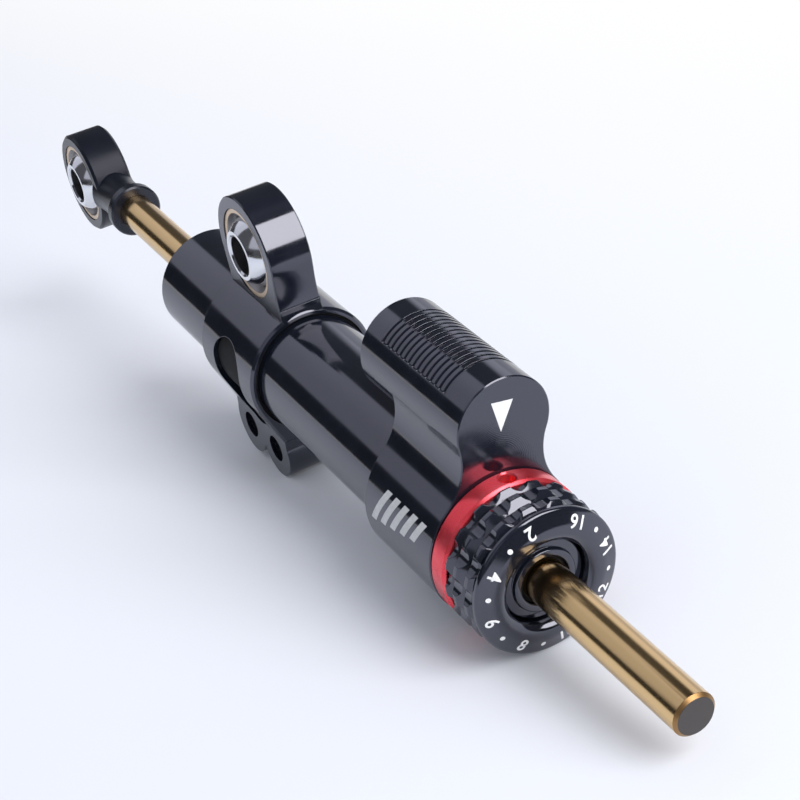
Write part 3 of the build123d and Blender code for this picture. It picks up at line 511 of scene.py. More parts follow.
class Sheet:
    """Numpy grids put into closed meshes."""

    EASE_POINTS = 5

    @staticmethod
    def piece(
        name: str, points: np.ndarray, faces: list[list[int]], finish: bpy.types.Material
    ) -> bpy.types.Object:
        """Makes a piece in the scene from points and faces.

        Args:
            name: the piece's name.
            points: rows of 3 coordinates.
            faces: each face's corners, anticlockwise from outside.
            finish: the piece's material.

        Returns:
            The new object.
        """
        mesh = bpy.data.meshes.new(name)
        mesh.from_pydata(points.tolist(), [], faces)
        mesh.validate()
        mesh.materials.append(finish)
        piece = bpy.data.objects.new(name, mesh)
        bpy.context.scene.collection.objects.link(piece)
        return piece

    @classmethod
    def closed(
        cls, name: str, outer: np.ndarray, inner: np.ndarray, finish: bpy.types.Material, wraps: bool = False
    ) -> bpy.types.Object:
        """Joins two grids of the same size into a thin closed slab.

        The top is the outer grid, the bottom is the inner grid with its faces turned, and the rim
        runs round the grid's border.

        Args:
            name: the piece's name.
            outer: rows by columns by 3 points of the seen side, anticlockwise from outside.
            inner: the matching points of the hidden side.
            finish: the piece's material.
            wraps: whether the last column joins the first.

        Returns:
            The new object.
        """
        rows, columns = outer.shape[:2]
        index = np.arange(rows * columns).reshape(rows, columns)
        if wraps:
            index = np.concatenate([index, index[:, :1]], axis=1)
        corners = [index[:-1, :-1], index[:-1, 1:], index[1:, 1:], index[1:, :-1]]
        quads = np.stack(corners, -1).reshape(-1, 4)
        back = quads[:, ::-1] + rows * columns
        rims = [index[0], index[-1][::-1]]
        if not wraps:
            rims += [index[:, -1], index[::-1, 0]]
        edges = np.concatenate([np.stack([rim[1:], rim[:-1]], -1) for rim in rims])
        rim_quads = np.concatenate([edges, edges[:, ::-1] + rows * columns], axis=1)
        points = np.concatenate([outer.reshape(-1, 3), inner.reshape(-1, 3)])
        return cls.piece(name, points, np.concatenate([quads, back, rim_quads]).tolist(), finish)

    @classmethod
    def loop(
        cls, name: str, points: np.ndarray, finish: bpy.types.Material, crease: float = 32.0
    ) -> bpy.types.Object:
        """Closes a grid of points in both directions, facing outwards, with sharp creases kept.

        Args:
            name: the piece's name.
            points: stations by section points by 3, where both the last row and column join the first.
            finish: the piece's material.
            crease: the angle in degrees past which an edge stays sharp.

        Returns:
            The new object.
        """
        rows, columns = points.shape[:2]
        index = np.arange(rows * columns).reshape(rows, columns)
        down, across = np.roll(index, -1, 0), np.roll(index, -1, 1)
        quads = np.stack([index, across, np.roll(down, -1, 1), down], -1).reshape(-1, 4)
        flat = points.reshape(-1, 3)
        first, second, third, fourth = (flat[quads[:, corner]] for corner in range(4))
        turned = np.cross(second - first, third - first) + np.cross(third - first, fourth - first)
        if float((turned * (first + third)).sum()) < 0:
            quads = quads[:, ::-1]
        piece = cls.piece(name, flat, quads.tolist(), finish)
        piece.data.shade_smooth()
        piece.data.set_sharp_from_angle(angle=math.radians(crease))
        return piece

    @classmethod
    def eased(cls, corners: Sequence[tuple[float, float, float]]) -> np.ndarray:
        """Rounds the corners of a closed outline.

        Each corner becomes a quadratic curve between the points that lie its own distance away on
        its two sides, at most 0.45 of a side.

        Args:
            corners: two coordinates and the corner's distance, in millimetres.

        Returns:
            The outline in metres, EASE_POINTS to each corner.
        """
        spots = np.array([corner[:2] for corner in corners]) * MM
        reach = np.array([corner[2] for corner in corners])[:, None] * MM
        sides = np.roll(spots, 1, 0) - spots, np.roll(spots, -1, 0) - spots
        sizes = (np.linalg.norm(side, axis=1, keepdims=True) for side in sides)
        start, end = (spots + side * np.minimum(reach / size, 0.45) for side, size in zip(sides, sizes))
        share = np.linspace(0, 1, cls.EASE_POINTS)[None, :, None]
        curve = (1 - share) ** 2 * start[:, None] + 2 * share * (1 - share) * spots[:, None]
        return (curve + share**2 * end[:, None]).reshape(-1, 2)

    @staticmethod
    def round_bolt(center: Color, turns: np.ndarray, width: np.ndarray, reach: np.ndarray) -> np.ndarray:
        """Carries widths along Y and reaches from a bolt's axis round it, by angles from +Z toward +X."""
        parts = np.broadcast_arrays(reach * np.sin(turns), width, reach * np.cos(turns))
        return np.array(center) + np.stack(parts, -1)

    @staticmethod
    def full_turn(columns: int) -> np.ndarray:
        """Gives evenly spaced angles round a whole turn, as one row."""
        return np.linspace(0, 2 * math.pi, columns, endpoint=False)[None]


# Sub-assemblies


@dataclass(frozen=True)
class DamperBox:
    """Places that the other classes share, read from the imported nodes."""

    axis_z: float
    head_front: float
    head_r: float
    dial_face: float
    rod_tip: float
    eye_x: float
    lean: float = math.radians(8.2)

    @classmethod
    def read(cls) -> "DamperBox":
        """Reads the node boxes.

        Returns:
            The shared places.
        """
        tube_low, tube_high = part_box("damper_tube")
        head_low, head_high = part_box("head_block")
        dial_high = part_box("adjuster_dial")[1]
        rod_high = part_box("piston_rod")[1]
        ball_low, ball_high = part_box("rod_eye_ball")
        axis_z = (tube_low.z + tube_high.z) / 2
        return cls(
            axis_z=axis_z,
            head_front=head_high.x,
            head_r=axis_z - head_low.z,
            dial_face=dial_high.x,
            rod_tip=rod_high.x,
            eye_x=(ball_low.x + ball_high.x) / 2,
        )

    def spoke(self, angle: Union[float, np.ndarray]) -> np.ndarray:
        """Gives unit vectors square to the rod, by radians from the reservoir's direction toward -Y."""
        turn = self.lean - np.asarray(angle, float)
        return np.stack([np.zeros_like(turn), np.sin(turn), np.cos(turn)], -1)

    def around(
        self,
        angle: Union[float, np.ndarray],
        station: Union[float, np.ndarray],
        radius: Union[float, np.ndarray],
    ) -> np.ndarray:
        """Places points round the rod's axis: the spoke at each angle times the radius, at the station.

        Args:
            angle: radians from the reservoir's direction toward -Y.
            station: places along X.
            radius: distances from the axis.

        Returns:
            The points, by the angles' and radii's shared shape and 3.
        """
        points = self.spoke(angle) * np.asarray(radius)[..., None]
        points[..., 0] = station
        points[..., 2] += self.axis_z
        return points


@dataclass
class AdjusterDial:
    """The dial: a scalloped sloped strip, two beads, a groove, and a crowned face round its recess."""

    place: DamperBox
    notches: int = 16
    cutter_r: float = 2.5 * MM
    cutter_at: float = 15.95 * MM
    cut_from_r: float = 10.0 * MM
    scallop_end_x: float = 97.5 * MM
    plain_share: float = 0.35
    least_share: float = 0.04
    crown: float = 0.35 * MM
    crown_r: float = 10.2 * MM
    cone_r: float = 11.6 * MM
    fall: float = 0.36
    dip_r: float = 9.9 * MM
    dip_bend: float = 325.0
    recess_r: float = 8.26 * MM
    lip_r: float = 13.6 * MM
    longest_side: float = 0.25 * MM
    sector_columns: int = 24

    def face(self, radius: np.ndarray) -> np.ndarray:
        """Gives the face's station at a radius.

        The face bends down from the crown into a cone, and falls with the square of the distance
        inside the dip radius.

        Args:
            radius: distances from the axis.

        Returns:
            Stations along X.
        """
        width = self.cone_r - self.crown_r
        bend = np.clip((radius - self.crown_r) / width, 0, 1) ** 2 * width / 2
        outer = self.fall * (bend + np.maximum(radius - self.cone_r, 0))
        dip = np.maximum(self.dip_r - radius, 0) ** 2 * self.dip_bend
        return self.place.dial_face + self.crown - outer - dip

    def profile(self) -> np.ndarray:
        """Puts the section together from the recess's wall, the face, the lip and the knurled back.

        Returns:
            Stations and radii in order round the section.
        """
        radii = np.linspace(self.recess_r, self.lip_r, 40)
        face = np.stack([self.face(radii), radii], -1)
        groove = (97.5, 13.1, 0.0)
        lip = [(*face[-1] / MM, 0.0), (99.1, 14.14, 0.34), (98.25, 14.14, 0.15), (98.2, 13.1, 0.15), groove]
        beads = [
            (96.75, 14.35, 0.18),
            (95.6, 14.35, 0.18),
            (94.65, 13.0, 0.22),
            (93.05, 14.35, 0.18),
            (91.95, 14.35, 0.18),
            (91.0, 13.0, 0.22),
            (89.9, 14.35, 0.12),
        ]
        back = [(89.5, 14.3, 0.06), (89.5, 6.9, 0.0), (94.0, 6.9, 0.0)]
        wall = np.array([(94.0, 8.2), (99.26, 8.2)]) * MM
        # A sharp corner is EASE_POINTS equal points, and the parts share the corners where they meet.
        rim = Sheet.eased(lip)[Sheet.EASE_POINTS : 1 - Sheet.EASE_POINTS]
        knurl = Sheet.eased([groove, *beads, *back])[Sheet.EASE_POINTS :]
        return np.concatenate([wall, face, rim, self._finer(knurl)])

    def _finer(self, outline: np.ndarray) -> np.ndarray:
        """Splits the long sides of the knurled part evenly.

        Args:
            outline: points in order.

        Returns:
            The outline with points added.
        """
        walked = np.concatenate([[0.0], np.cumsum(np.linalg.norm(np.diff(outline, axis=0), axis=1))])
        counts = np.maximum(2, (np.diff(walked) / self.longest_side).astype(int) + 1)
        extra = [np.linspace(*ends) for ends in zip(walked[:-1], walked[1:], counts)]
        at = np.unique(np.concatenate(extra))
        return np.stack([np.interp(at, walked, outline[:, axis]) for axis in range(2)], -1)

    def build(self, finish: bpy.types.Material) -> bpy.types.Object:
        """Carries the section round the rod's axis.

        Inside a notch the radius is where the cutter's circle crosses the spoke. The columns of
        each sector slide so that two of them always follow the notch's lips. From scallop_end_x on
        nothing is cut, and those two stand at plain_share of half a sector.

        Args:
            finish: the dial's material.

        Returns:
            The new piece.
        """
        section = self.profile()
        station, radius = section[:, :1], section[:, 1:]
        half = math.pi / self.notches
        share = np.linspace(-1, 1, self.sector_columns + 1)[None, :-1]
        cosine = (self.cutter_at**2 + radius**2 - self.cutter_r**2) / (2 * self.cutter_at * radius)
        lip = np.arccos(np.clip(cosine, math.cos(half), 1.0))
        scalloped = station < self.scallop_end_x
        lip = np.maximum(np.where(scalloped, lip, self.plain_share * half), self.least_share * half)
        inside = np.abs(share) <= 0.5
        between = np.sign(share) * (lip + (2 * np.abs(share) - 1) * (half - lip))
        turn = np.where(inside, 2 * share * lip, between)
        reach = self.cutter_at * np.sin(turn)
        cut = self.cutter_at * np.cos(turn) - np.sqrt(np.maximum(self.cutter_r**2 - reach**2, 0))
        notched = inside & scalloped & (radius > self.cut_from_r)
        radius = np.where(notched, np.minimum(radius, cut), radius)
        turns = turn[:, None] + 2 * half * np.arange(self.notches)[:, None]
        radius = np.broadcast_to(radius[:, None], turns.shape)
        rows = len(section)
        points = self.place.around(turns.reshape(rows, -1), station, radius.reshape(rows, -1))
        return Sheet.loop("scalloped_dial", points, finish)


@dataclass
class RingNut:
    """The ring nut in the dial's recess with its raised collar."""

    place: DamperBox
    columns: int = 96

    def build(self, finish: bpy.types.Material) -> bpy.types.Object:
        """Carries an eased section of stations and radii round the rod's axis.

        Args:
            finish: the nut's material.

        Returns:
            The new piece.
        """
        seat = [(97.95, 5.75, 0.05), (94.3, 5.75, 0.1), (94.3, 7.8, 0.2), (98.0, 7.8, 0.25)]
        collar = [(98.0, 6.15, 0.1), (98.85, 6.05, 0.25), (98.85, 4.75, 0.3), (97.95, 4.6, 0.05)]
        section = Sheet.eased([*seat, *collar])
        points = self.place.around(Sheet.full_turn(self.columns), section[:, :1], section[:, 1:])
        return Sheet.loop("collared_nut", points, finish)


@dataclass
class RibSkin:
    """The reservoir's ribbed skin with its broken edges."""

    place: DamperBox
    center_r: float = 23.2 * MM
    radius: float = 9.15 * MM
    under_r: float = 8.5 * MM
    last_x: float = 77.97 * MM
    pitch: float = 1.51 * MM
    count: int = 15
    width: float = 0.44 * MM
    depth: float = 0.38 * MM
    margin: float = 0.25 * MM
    half_angle: float = math.radians(58.2)
    fade_angle: float = math.radians(1.6)
    lift: float = 0.022 * MM
    tuck: float = 0.6
    columns: int = 121
    crease: float = math.radians(80.0)

    def stations(self) -> np.ndarray:
        """Lays the grooves along the skin: each edge table is a groove's flank, used again in mirror.

        Returns:
            Rows of station, share of depth and share of lift, which is below 0 at the skin's ends.
        """
        edge = [(-0.20, 0.0), (-0.15, 0.0), (-0.09, 0.02), (-0.04, 0.09), (-0.01, 0.24)]
        edge += [(0.01, 0.9), (0.05, 1.0)]
        groove = [(step * MM, share) for step, share in edge]
        groove += [(self.width - step, share) for step, share in groove[::-1]]
        starts = self.last_x - self.width - self.pitch * np.arange(self.count)[::-1]
        rows = [(start + step, share, 1.0) for start in starts for step, share in groove]
        first, last = rows[0][0] - self.margin, rows[-1][0] + self.margin
        return np.array([(first, 0.0, -self.tuck), *rows, (last, 0.0, -self.tuck)])

    def build(self, finish: bpy.types.Material) -> bpy.types.Object:
        """Carries the grooved line over an arc round the reservoir.

        The reach is the radius and the lift less the groove's depth. The grooves fade out toward
        the arc's ends, and the border dips under the reservoir's surface.

        Args:
            finish: the skin's material.

        Returns:
            The new piece.
        """
        station, share, lift = self.stations().T[:, :, None]
        turns = np.linspace(-self.half_angle, self.half_angle, self.columns)[None]
        left = np.clip((self.half_angle - np.abs(turns)) / self.fade_angle, 0, 1)
        fade = left**2 * (3 - 2 * left)
        high = self.lift * np.minimum(lift, 2 * left - self.tuck)
        reach = self.radius + high - self.depth * share * fade
        middle = self.place.spoke(0.0) * self.center_r
        under = np.full_like(reach, self.under_r)
        outer, inner = (middle + self.place.around(turns, station, size) for size in (reach, under))
        skin = Sheet.closed("reservoir_ribs", outer, inner, finish)
        skin.data.shade_smooth()
        skin.data.set_sharp_from_angle(angle=self.crease)
        return skin


@dataclass
class BearingRace:
    """A spherical bearing's outer race with its coned mouths."""

    name: str
    center: Color
    outer_r: float = 9.43
    half_width: float = 4.3
    columns: int = 128

    def build(self, finish: bpy.types.Material) -> bpy.types.Object:
        """Carries a section round the bolt's axis, which runs along Y.

        The section is the same on both sides of the middle: half of it is listed by width, radius
        and easing, and the other half is its mirror.

        Args:
            finish: the race's material.

        Returns:
            The new piece.
        """
        face = self.half_width
        half = [(face, self.outer_r, 0.12), (face, 8.45, 0.12), (2.75, 7.62, 0.15), (1.4, 7.88, 0.3)]
        mirror = [(-width, radius, ease) for width, radius, ease in half]
        section = Sheet.eased([*mirror, (0.0, 7.98, 0.3), *half[::-1]])
        turns = Sheet.full_turn(self.columns)
        points = Sheet.round_bolt(self.center, turns, section[:, :1], section[:, 1:])
        return Sheet.loop(self.name, points, finish)


@dataclass
class ClampLug:
    """The lug's skin: a disc whose foot flares forward into the clamp's sleeve."""

    disc_r: float = 12.03 * MM
    bore_r: float = 9.455 * MM
    half_width: float = 4.53 * MM
    edge: float = 0.22 * MM
    columns: int = 240
    face_rows: int = 5

    def outline(self, turns: np.ndarray) -> np.ndarray:
        """Gives the reach of the lug's outline.

        Round the top it is the disc. Below, its front follows a cubic in height that starts along
        the disc and ends at the toe with the toe's slope, read as a polar curve.

        Args:
            turns: angles from +Z toward +X.

        Returns:
            Distances from the eye's centre.
        """
        top, low, toe, toe_slope = -0.5, -10.6, 13.0, 0.42
        share = np.linspace(0, 1, 40)
        height = top + (low - top) * share
        heel = math.sqrt((self.disc_r / MM) ** 2 - top**2)
        front = heel + (toe - heel) * (3 - 2 * share) * share**2
        front += (top - low) * (top / heel * share * (1 - share) ** 2 - toe_slope * share**2 * (1 - share))
        base = [(step, low) for step in np.linspace(12.9, -10.5, 25)]
        rear = [(-10.53, low), (-10.53, -8.25), (-11.0, -5.9), (-11.6, -3.2)]
        foot = np.array([*zip(front, height), *base, *rear]) * MM
        at = np.mod(np.arctan2(foot[:, 0], foot[:, 1]), 2 * math.pi)
        reach = np.interp(turns, at, np.hypot(foot[:, 0], foot[:, 1]))
        return np.where((turns < at[0]) | (turns > at[-1]), self.disc_r, reach)

    def build(self, finish: bpy.types.Material) -> bpy.types.Object:
        """Carries the section round the eye: bore, flat faces and the outline with its small edge break.

        The foot's corners get columns of their own.

        Args:
            finish: the lug's material.

        Returns:
            The new piece.
        """
        corners = np.radians([129.1, 129.25, 224.8, 224.9, 254.5])
        turns = np.sort(np.concatenate([Sheet.full_turn(self.columns)[0], corners]))
        reach = self.outline(turns)
        share = np.linspace(0, 1, self.face_rows)[:, None]
        face = self.bore_r + share * (reach - self.edge - self.bore_r)
        radii = np.concatenate([face, [reach, reach], face[::-1]])
        width, eased = self.half_width, self.half_width - self.edge
        across = [-width] * self.face_rows + [-eased, eased] + [width] * self.face_rows
        points = Sheet.round_bolt((0.0, 0.0, 0.0), turns, np.array(across)[:, None], radii)
        return Sheet.loop("clamp_lug", points, finish)


@dataclass
class DialMarks:
    """White numbers and dots printed on the dial's face."""

    place: DamperBox
    dial: AdjusterDial
    places: int = 16
    lift: float = 0.02 * MM
    height: float = 2.5 * MM
    number_radius: float = 11.9 * MM
    number_lead: float = math.radians(-2.3)
    dot_radius: float = 0.46 * MM
    dots_radius: float = 12.05 * MM
    dots_lead: float = math.radians(-3.6)

    def build(self, paint: bpy.types.Material) -> list[bpy.types.Object]:
        """Makes the eight numbers and the seven dots.

        Args:
            paint: the print's material.

        Returns:
            The new pieces.
        """
        pieces = []
        for index in range(1, self.places):
            angle = 2 * math.pi * index / self.places
            if index % 2:
                pieces.append(self._number(index + 1, angle + self.number_lead, paint))
            else:
                pieces.append(self._dot(index, angle + self.dots_lead, paint))
        return pieces

    def _station(self, points: np.ndarray) -> np.ndarray:
        """Gives the dial face's station under points near it."""
        return self.dial.face(np.hypot(points[..., 1], points[..., 2] - self.place.axis_z))

    @staticmethod
    def _glyphs(number: int) -> bpy.types.Mesh:
        """Makes a number's flat mesh, fine enough to follow the face.

        Args:
            number: the number to write.

        Returns:
            The mesh.
        """
        curve = bpy.data.curves.new(f"dial_number_{number}_text", "FONT")
        curve.body = str(number)
        curve.size = 1.0
        curve.offset = 0.018
        curve.space_character = 1.05
        curve.resolution_u = 6
        text = bpy.data.objects.new(curve.name, curve)
        bpy.context.scene.collection.objects.link(text)
        bpy.context.view_layer.update()
        mesh = bpy.data.meshes.new_from_object(text.evaluated_get(bpy.context.evaluated_depsgraph_get()))
        bpy.data.objects.remove(text)
        bpy.data.curves.remove(curve)
        work = bmesh.new()
        work.from_mesh(mesh)
        bmesh.ops.triangulate(work, faces=work.faces)
        bmesh.ops.subdivide_edges(work, edges=work.edges, cuts=4, use_grid_fill=True)
        work.to_mesh(mesh)
        work.free()
        return mesh

    def _number(self, number: int, angle: float, paint: bpy.types.Material) -> bpy.types.Object:
        """Lays one number on the face with its top toward the rod.

        Its flat points become steps along the spoke and square to it, and then drop onto the face.

        Args:
            number: the number to print.
            angle: radians from the reservoir's direction toward -Y.
            paint: the print's material.

        Returns:
            The new piece.
        """
        mesh = self._glyphs(number)
        flat = np.zeros(len(mesh.vertices) * 3)
        mesh.vertices.foreach_get("co", flat)
        flat = flat.reshape(-1, 3)[:, :2]
        low, high = flat.min(0), flat.max(0)
        flat = (flat - (low + high) / 2) * (self.height / (high[1] - low[1]))
        out = self.place.spoke(angle)
        right = np.array([0.0, -out[2], out[1]])
        center = self.place.around(angle, self.place.dial_face, self.number_radius)
        points = center + flat[:, :1] * right - flat[:, 1:] * out
        points[:, 0] = self._station(points) + self.lift
        mesh.vertices.foreach_set("co", points.ravel())
        mesh.update()
        mesh.name = f"dial_number_{number}"
        mesh.materials.append(paint)
        piece = bpy.data.objects.new(mesh.name, mesh)
        bpy.context.scene.collection.objects.link(piece)
        thick = piece.modifiers.new("ink", "SOLIDIFY")
        thick.thickness = self.lift
        thick.offset = -1.0
        return piece

    def _dot(self, index: int, angle: float, paint: bpy.types.Material) -> bpy.types.Object:
        """Makes one dot: rings of points round its centre, slightly domed.

        Args:
            index: the dot's place on the dial.
            angle: radians from the reservoir's direction toward -Y.
            paint: the print's material.

        Returns:
            The new piece.
        """
        turns, steps = np.meshgrid(Sheet.full_turn(24), np.linspace(0.02, 1, 5))
        turns, steps = turns[..., None], steps[..., None]
        out = self.place.spoke(angle)
        side = np.array([0.0, out[2], -out[1]])
        center = self.place.around(angle, self.place.dial_face, self.dots_radius)
        flat = center + self.dot_radius * steps * (np.cos(turns) * side + np.sin(turns) * out)
        flat[..., 0] = self._station(flat)
        domed = flat.copy()
        domed[..., :1] += self.lift * (1 - 0.5 * steps**4)
        return Sheet.closed(f"dial_dot_{index}", domed, flat, paint, wraps=True)


@dataclass
class HeadMarks:
    """The index triangle on the head's face and the grey bars on its flank."""

    place: DamperBox
    lift: float = 0.02 * MM
    bar_count: int = 5
    bar_start_x: float = 64.0 * MM
    bar_width: float = 1.7 * MM
    bar_pitch: float = 3.0 * MM
    bar_slant: float = 4.2 * MM
    bar_from: float = math.radians(67.0)
    bar_sweep: float = math.radians(30.0)
    bar_shrink: float = math.radians(3.0)

    def triangle(self, paint: bpy.types.Material) -> bpy.types.Object:
        """Makes the triangle that points at the lock ring, a slab between two flat outlines.

        Args:
            paint: the print's material.

        Returns:
            The new piece.
        """
        corners = np.array([(1.35, 4.8), (2.55, -1.4), (5.55, 4.0)]) * MM
        front = self.place.head_front
        under, top = (np.insert(corners, 0, x_place, axis=1) for x_place in (front, front + self.lift))
        sides = [[corner, corner + 3, (corner + 1) % 3 + 3, (corner + 1) % 3] for corner in range(3)]
        faces = [[0, 1, 2], [5, 4, 3], *sides]
        return Sheet.piece("index_triangle", np.concatenate([top, under]), faces, paint)

    def bars(self, paint: bpy.types.Material) -> list[bpy.types.Object]:
        """Makes slanted bars that lie on the head's cylinder.

        Each is a grid over angle and station whose stations shift with the angle.

        Args:
            paint: the print's material.

        Returns:
            The new pieces.
        """
        pieces = []
        for index in range(self.bar_count):
            sweep = self.bar_sweep - self.bar_shrink * index
            turns, share = np.meshgrid(np.linspace(0, sweep, 17), np.linspace(0, 1, 5))
            slant = self.bar_slant * (1 - turns / self.bar_sweep)
            stations = self.bar_start_x + index * self.bar_pitch + share * self.bar_width + slant
            radii = (self.place.head_r + self.lift, self.place.head_r)
            outer, inner = (self.place.around(self.bar_from + turns, stations, radius) for radius in radii)
            pieces.append(Sheet.closed(f"flank_bar_{index + 1}", outer, inner, paint))
        return pieces


class Slot(Enum):
    """The record's material slots."""

    BLACK = "black_anodised"
    RED = "red_anodised"
    GOLD = "gold_rod"
    CHROME = "chrome_ball"
    BRONZE = "bronze"
    DARK = "dark_aluminium"
    BARE = "bare_aluminium"
    BLACK_STEEL = "black_steel"
    BRIGHT_STEEL = "bright_steel"
    RUBBER = "rubber"
    PTFE = "ptfe"


@dataclass
class Wardrobe:
    """Gives every carried-over CAD node its finish."""

    place: DamperBox

    def finishes(self) -> dict[str, Finish]:
        """Lists the finishes by slot, and by node where a node has its own.

        Returns:
            Finishes by slot or node name.
        """
        rod = (0.0, 0.0, self.place.axis_z)
        eye = (self.place.eye_x, 0.0, self.place.axis_z)
        reservoir = (0.0, 0.9 * MM, self.place.axis_z + 15.5 * MM)
        # The chrome ball's bore inside core_r is painted shade: darker and rougher than the chrome.
        chrome = TurnedMetal(
            (0.76, 0.77, 0.80), 0.07, axis=Axis.Y, depth=0.0004 * MM, tint=0.95, core_r=4.05 * MM
        )
        bronze = TurnedMetal(
            (0.68, 0.54, 0.40), 0.34, axis=Axis.Y, tint=0.85, core_r=8.40 * MM, core=(0.34, 0.33, 0.33)
        )
        return {
            Slot.BLACK.value: BlackAnodise(),
            Slot.RED.value: RedAnodise(),
            Slot.GOLD.value: GoldNitride(tip_x=self.place.rod_tip),
            Slot.CHROME.value: chrome,
            Slot.BRONZE.value: bronze,
            Slot.DARK.value: TurnedMetal((0.10, 0.105, 0.12), 0.24, center=rod),
            Slot.BARE.value: TurnedMetal((0.60, 0.61, 0.63), 0.28, center=rod),
            Slot.BLACK_STEEL.value: TurnedMetal((0.035, 0.035, 0.04), 0.38, metallic=0.85, axis=Axis.Y),
            Slot.BRIGHT_STEEL.value: TurnedMetal((0.58, 0.58, 0.60), 0.18, center=rod),
            Slot.RUBBER.value: Moulded((0.008, 0.008, 0.009), 0.85),
            Slot.PTFE.value: Moulded((0.09, 0.15, 0.12), 0.5),
            "clamp": BlackAnodise(satin_side=0.27),
            "rod_eye": BlackAnodise(satin_side=0.32, roughness=0.32, sheen=0.18),
            "eye_collar": BlackAnodise(roughness=0.25, sheen=0.5),
            "head_block": BlackAnodise(
                arc_center=reservoir, arc_face_x=self.place.head_front, edge_radius=0.06 * MM
            ),
            "eye_race": replace(bronze, center=eye),
            "rod_eye_ball": replace(chrome, center=eye),
        }

    def dress(self, frame: dict) -> dict[str, bpy.types.Material]:
        """Assigns a material to every CAD node.


        Returns:
            The materials by slot or node name.
        """
        slots = {row["node"]: row["material_slot"] for row in frame["record"]["subparts"]}
        finishes = self.finishes()
        made: dict[str, bpy.types.Material] = {}
        for node, piece in sorted(frame["nodes"].items()):
            key = node if node in finishes else slots[node]
            if key not in made:
                made[key] = finishes[key].make(f"{key}_finish")
            for holder in piece.material_slots:
                holder.material = made[key]
            LOG.info("%s wears %s", node, key)
        return made


# Studio


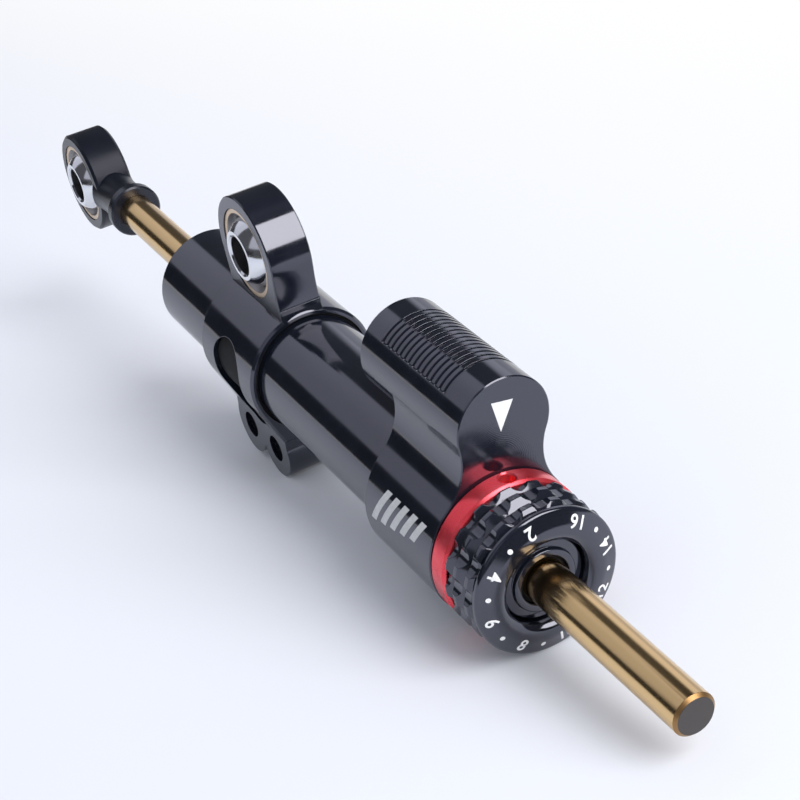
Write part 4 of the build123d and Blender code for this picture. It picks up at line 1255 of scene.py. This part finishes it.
@dataclass
class Studio:
    """The camera, the lamp, the white room and the pale floor."""

    place: DamperBox
    azimuth: float = 65.3
    elevation: float = 32.9
    roll: float = -8.9
    camera_at: Color = (0.3304, -0.1280, 0.1877)
    lens: float = 89.96
    key_azimuth: float = 117.0
    key_elevation: float = 43.0
    key_distance: float = 2.4
    key_width: float = 1.5
    key_height: float = 2.1
    key_power: float = 63.0
    key_color: Color = (1.0, 0.985, 0.97)
    key_aim_x: float = 0.03
    matt_glow: Color = (0.60, 0.61, 0.635)
    gloss_tint: Color = (0.92, 0.94, 1.07)
    floor_half: float = 3.0
    floor_gap: float = 0.02 * MM
    lobe_r: float = 6.2 * MM
    bead_x: float = 96.7 * MM

    @staticmethod
    def heading(azimuth: float, elevation: float) -> Vector:
        """Gives the unit vector at degrees from -Y toward +X and degrees above the horizon."""
        turn, rise = math.radians(azimuth), math.radians(elevation)
        return Vector((math.sin(turn) * math.cos(rise), -math.cos(turn) * math.cos(rise), math.sin(rise)))

    def camera(self) -> None:
        """Makes the camera at the photograph's place."""
        back = self.heading(self.azimuth, self.elevation)
        level = Vector((0, 0, 1)).cross(back).normalized()
        right = Matrix.Rotation(math.radians(self.roll), 3, back) @ level
        lens = bpy.data.cameras.new("studio_camera")
        lens.lens = self.lens
        lens.sensor_width = 36.0
        lens.clip_start, lens.clip_end = 0.01, 20.0
        camera = bpy.data.objects.new("studio_camera", lens)
        axes = Matrix((right, back.cross(right), back)).transposed().to_4x4()
        camera.matrix_world = Matrix.Translation(self.camera_at) @ axes
        bpy.context.scene.collection.objects.link(camera)
        bpy.context.scene.camera = camera

    def lamp(self) -> None:
        """Makes the tall softbox, which stands behind the camera on its right."""
        light = bpy.data.lights.new("key_softbox", "AREA")
        light.shape = "RECTANGLE"
        light.size = self.key_width
        light.size_y = self.key_height
        light.energy = self.key_power
        light.color = self.key_color
        lamp = bpy.data.objects.new("key_softbox", light)
        toward = self.heading(self.key_azimuth, self.key_elevation)
        lamp.location = Vector((self.key_aim_x, 0.0, self.place.axis_z)) + toward * self.key_distance
        lamp.rotation_mode = "QUATERNION"
        lamp.rotation_quaternion = toward.to_track_quat("Z", "Y")
        bpy.context.scene.collection.objects.link(lamp)

    def room(self) -> None:
        """Makes the world: white to the camera, a studio to gloss and a soft glow to matt surfaces."""
        world = bpy.data.worlds.new("studio_room")
        world.use_nodes = True
        bpy.context.scene.world = world
        graph = Graph(world.node_tree)
        x_way, y_way, z_way = graph.split(graph.value("ShaderNodeTexCoord", output="Generated"))
        turn = x_way.math("ARCTAN2", y_way * -1.0) * (180 / math.pi)
        rise = z_way.math("ARCSINE") * (180 / math.pi)
        gloss = graph.ray("Glossy")
        seen = graph.ray("Camera").math("MAXIMUM", graph.ray("Transmission"))
        color = graph.mix(seen, graph.mix(gloss, self.matt_glow, self.gloss_tint), WHITE)
        power = graph.blend(seen, graph.blend(gloss, 1.0, self._pattern(turn, rise)), 1.0)
        room = graph.value("ShaderNodeBackground", inputs={"Color": color, "Strength": power})
        graph.add("ShaderNodeOutputWorld", inputs={"Surface": room})

    @staticmethod
    def _pattern(turn: Wire, rise: Wire) -> Wire:
        """Lays out what gloss sees: soft panels, dark gaps between them and a dark horizon.

        Args:
            turn: the azimuth in degrees.
            rise: the elevation in degrees.

        Returns:
            The brightness.
        """
        lit = 0.09 + rise.step(62.0, 85.0) * 0.28
        panel = turn.within(-93.0, -40.0, 1.5) * rise.within(14.5, 56.0, 1.2)
        lit = lit + panel * (0.56 + 0.16 * turn.step(-55.0, -85.0))
        lit = lit + turn.within(-145.0, -124.0, 3.0) * rise.within(11.0, 36.0, 2.0) * 0.95
        lit = lit + turn.within(-160.0, -112.0, 3.0) * rise.within(-8.0, 11.0, 2.0) * 0.6
        lit = lit + turn.within(15.0, 60.0, 3.0) * rise.within(20.0, 55.0, 3.0) * 0.4
        horizon = turn.within(-75.0, 30.0, 6.0) * rise.step(14.5, 11.0)
        front = turn.within(80.0, 130.0, 8.0) * rise.step(18.0, 12.0)
        return lit * (1 - horizon.math("MAXIMUM", front) * 0.62)

    def floor(self) -> None:
        """Makes the floor that the clamp's front lobe and the dial's front bead stand on.

        Its slope is that of the line which touches both.
        """
        clamp_low, clamp_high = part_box("clamp")
        dial_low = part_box("adjuster_dial")[0]
        lobe = np.array([clamp_high.x - self.lobe_r, clamp_low.z + self.lobe_r])
        bead = np.array([self.bead_x, dial_low.z])
        span = bead - lobe
        slope = math.atan2(span[1], span[0]) + math.asin(self.lobe_r / float(np.hypot(*span)))
        along = np.linspace(-self.floor_half, self.floor_half, 9)
        over, across = np.meshgrid(along, along)
        height = bead[1] - self.floor_gap + over * math.sin(slope)
        points = np.stack([bead[0] + over * math.cos(slope), across, height], -1)
        paper = FloorFinish().make("paper_floor")
        floor = Sheet.closed("studio_floor", points, points - np.array([0.0, 0.0, 0.01]), paper)


def main() -> None:
    """Loads the frame, dresses it, adds the finer pieces and the marks, and sets the studio."""
    logging.basicConfig(level=logging.INFO, format="%(name)s: %(message)s")
    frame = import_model()
    place = DamperBox.read()
    made = Wardrobe(place).dress(frame)
    dial = AdjusterDial(place)
    clamp_race = BearingRace("clamp_race_ring", (0.0, 0.0, 0.0))
    rod_race = BearingRace("rod_race_ring", (place.eye_x, 0.0, place.axis_z))
    parts = [
        (dial.build(BlackAnodise(edge_radius=0.1 * MM).make("dial_finish")), "dial", "adjuster_dial"),
        (RingNut(place).build(made[Slot.BLACK.value]), "damper_body", "dial_nut"),
        (clamp_race.build(made[Slot.BRONZE.value]), "damper_body", "clamp_race"),
        (rod_race.build(made["eye_race"]), "rod", "eye_race"),
    ]
    for piece, body, node in parts:
        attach(piece, body)
        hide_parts(node)
        LOG.info("%s rides on %s in place of %s", piece.name, body, node)
    lug = ClampLug().build(made["clamp"])
    ribs = RibSkin(place).build(BlackAnodise(edge_radius=0.02 * MM).make("rib_finish"))
    for piece in (lug, ribs):
        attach(piece, "damper_body")
        LOG.info("%s rides on the damper body", piece.name)
    white = Print((0.86, 0.87, 0.88)).make("white_print")
    grey = Print((0.60, 0.61, 0.63)).make("grey_print")
    for piece in DialMarks(place, dial).build(white):
        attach(piece, "dial")
        LOG.info("%s rides on the dial", piece.name)
    head = HeadMarks(place)
    for piece in [head.triangle(white), *head.bars(grey)]:
        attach(piece, "damper_body")
        LOG.info("%s rides on the damper body", piece.name)
    studio = Studio(place)
    studio.camera()
    studio.lamp()
    studio.room()
    studio.floor()
    bpy.context.scene.view_settings.view_transform = "Standard"


if __name__ == "__main__":
    main()
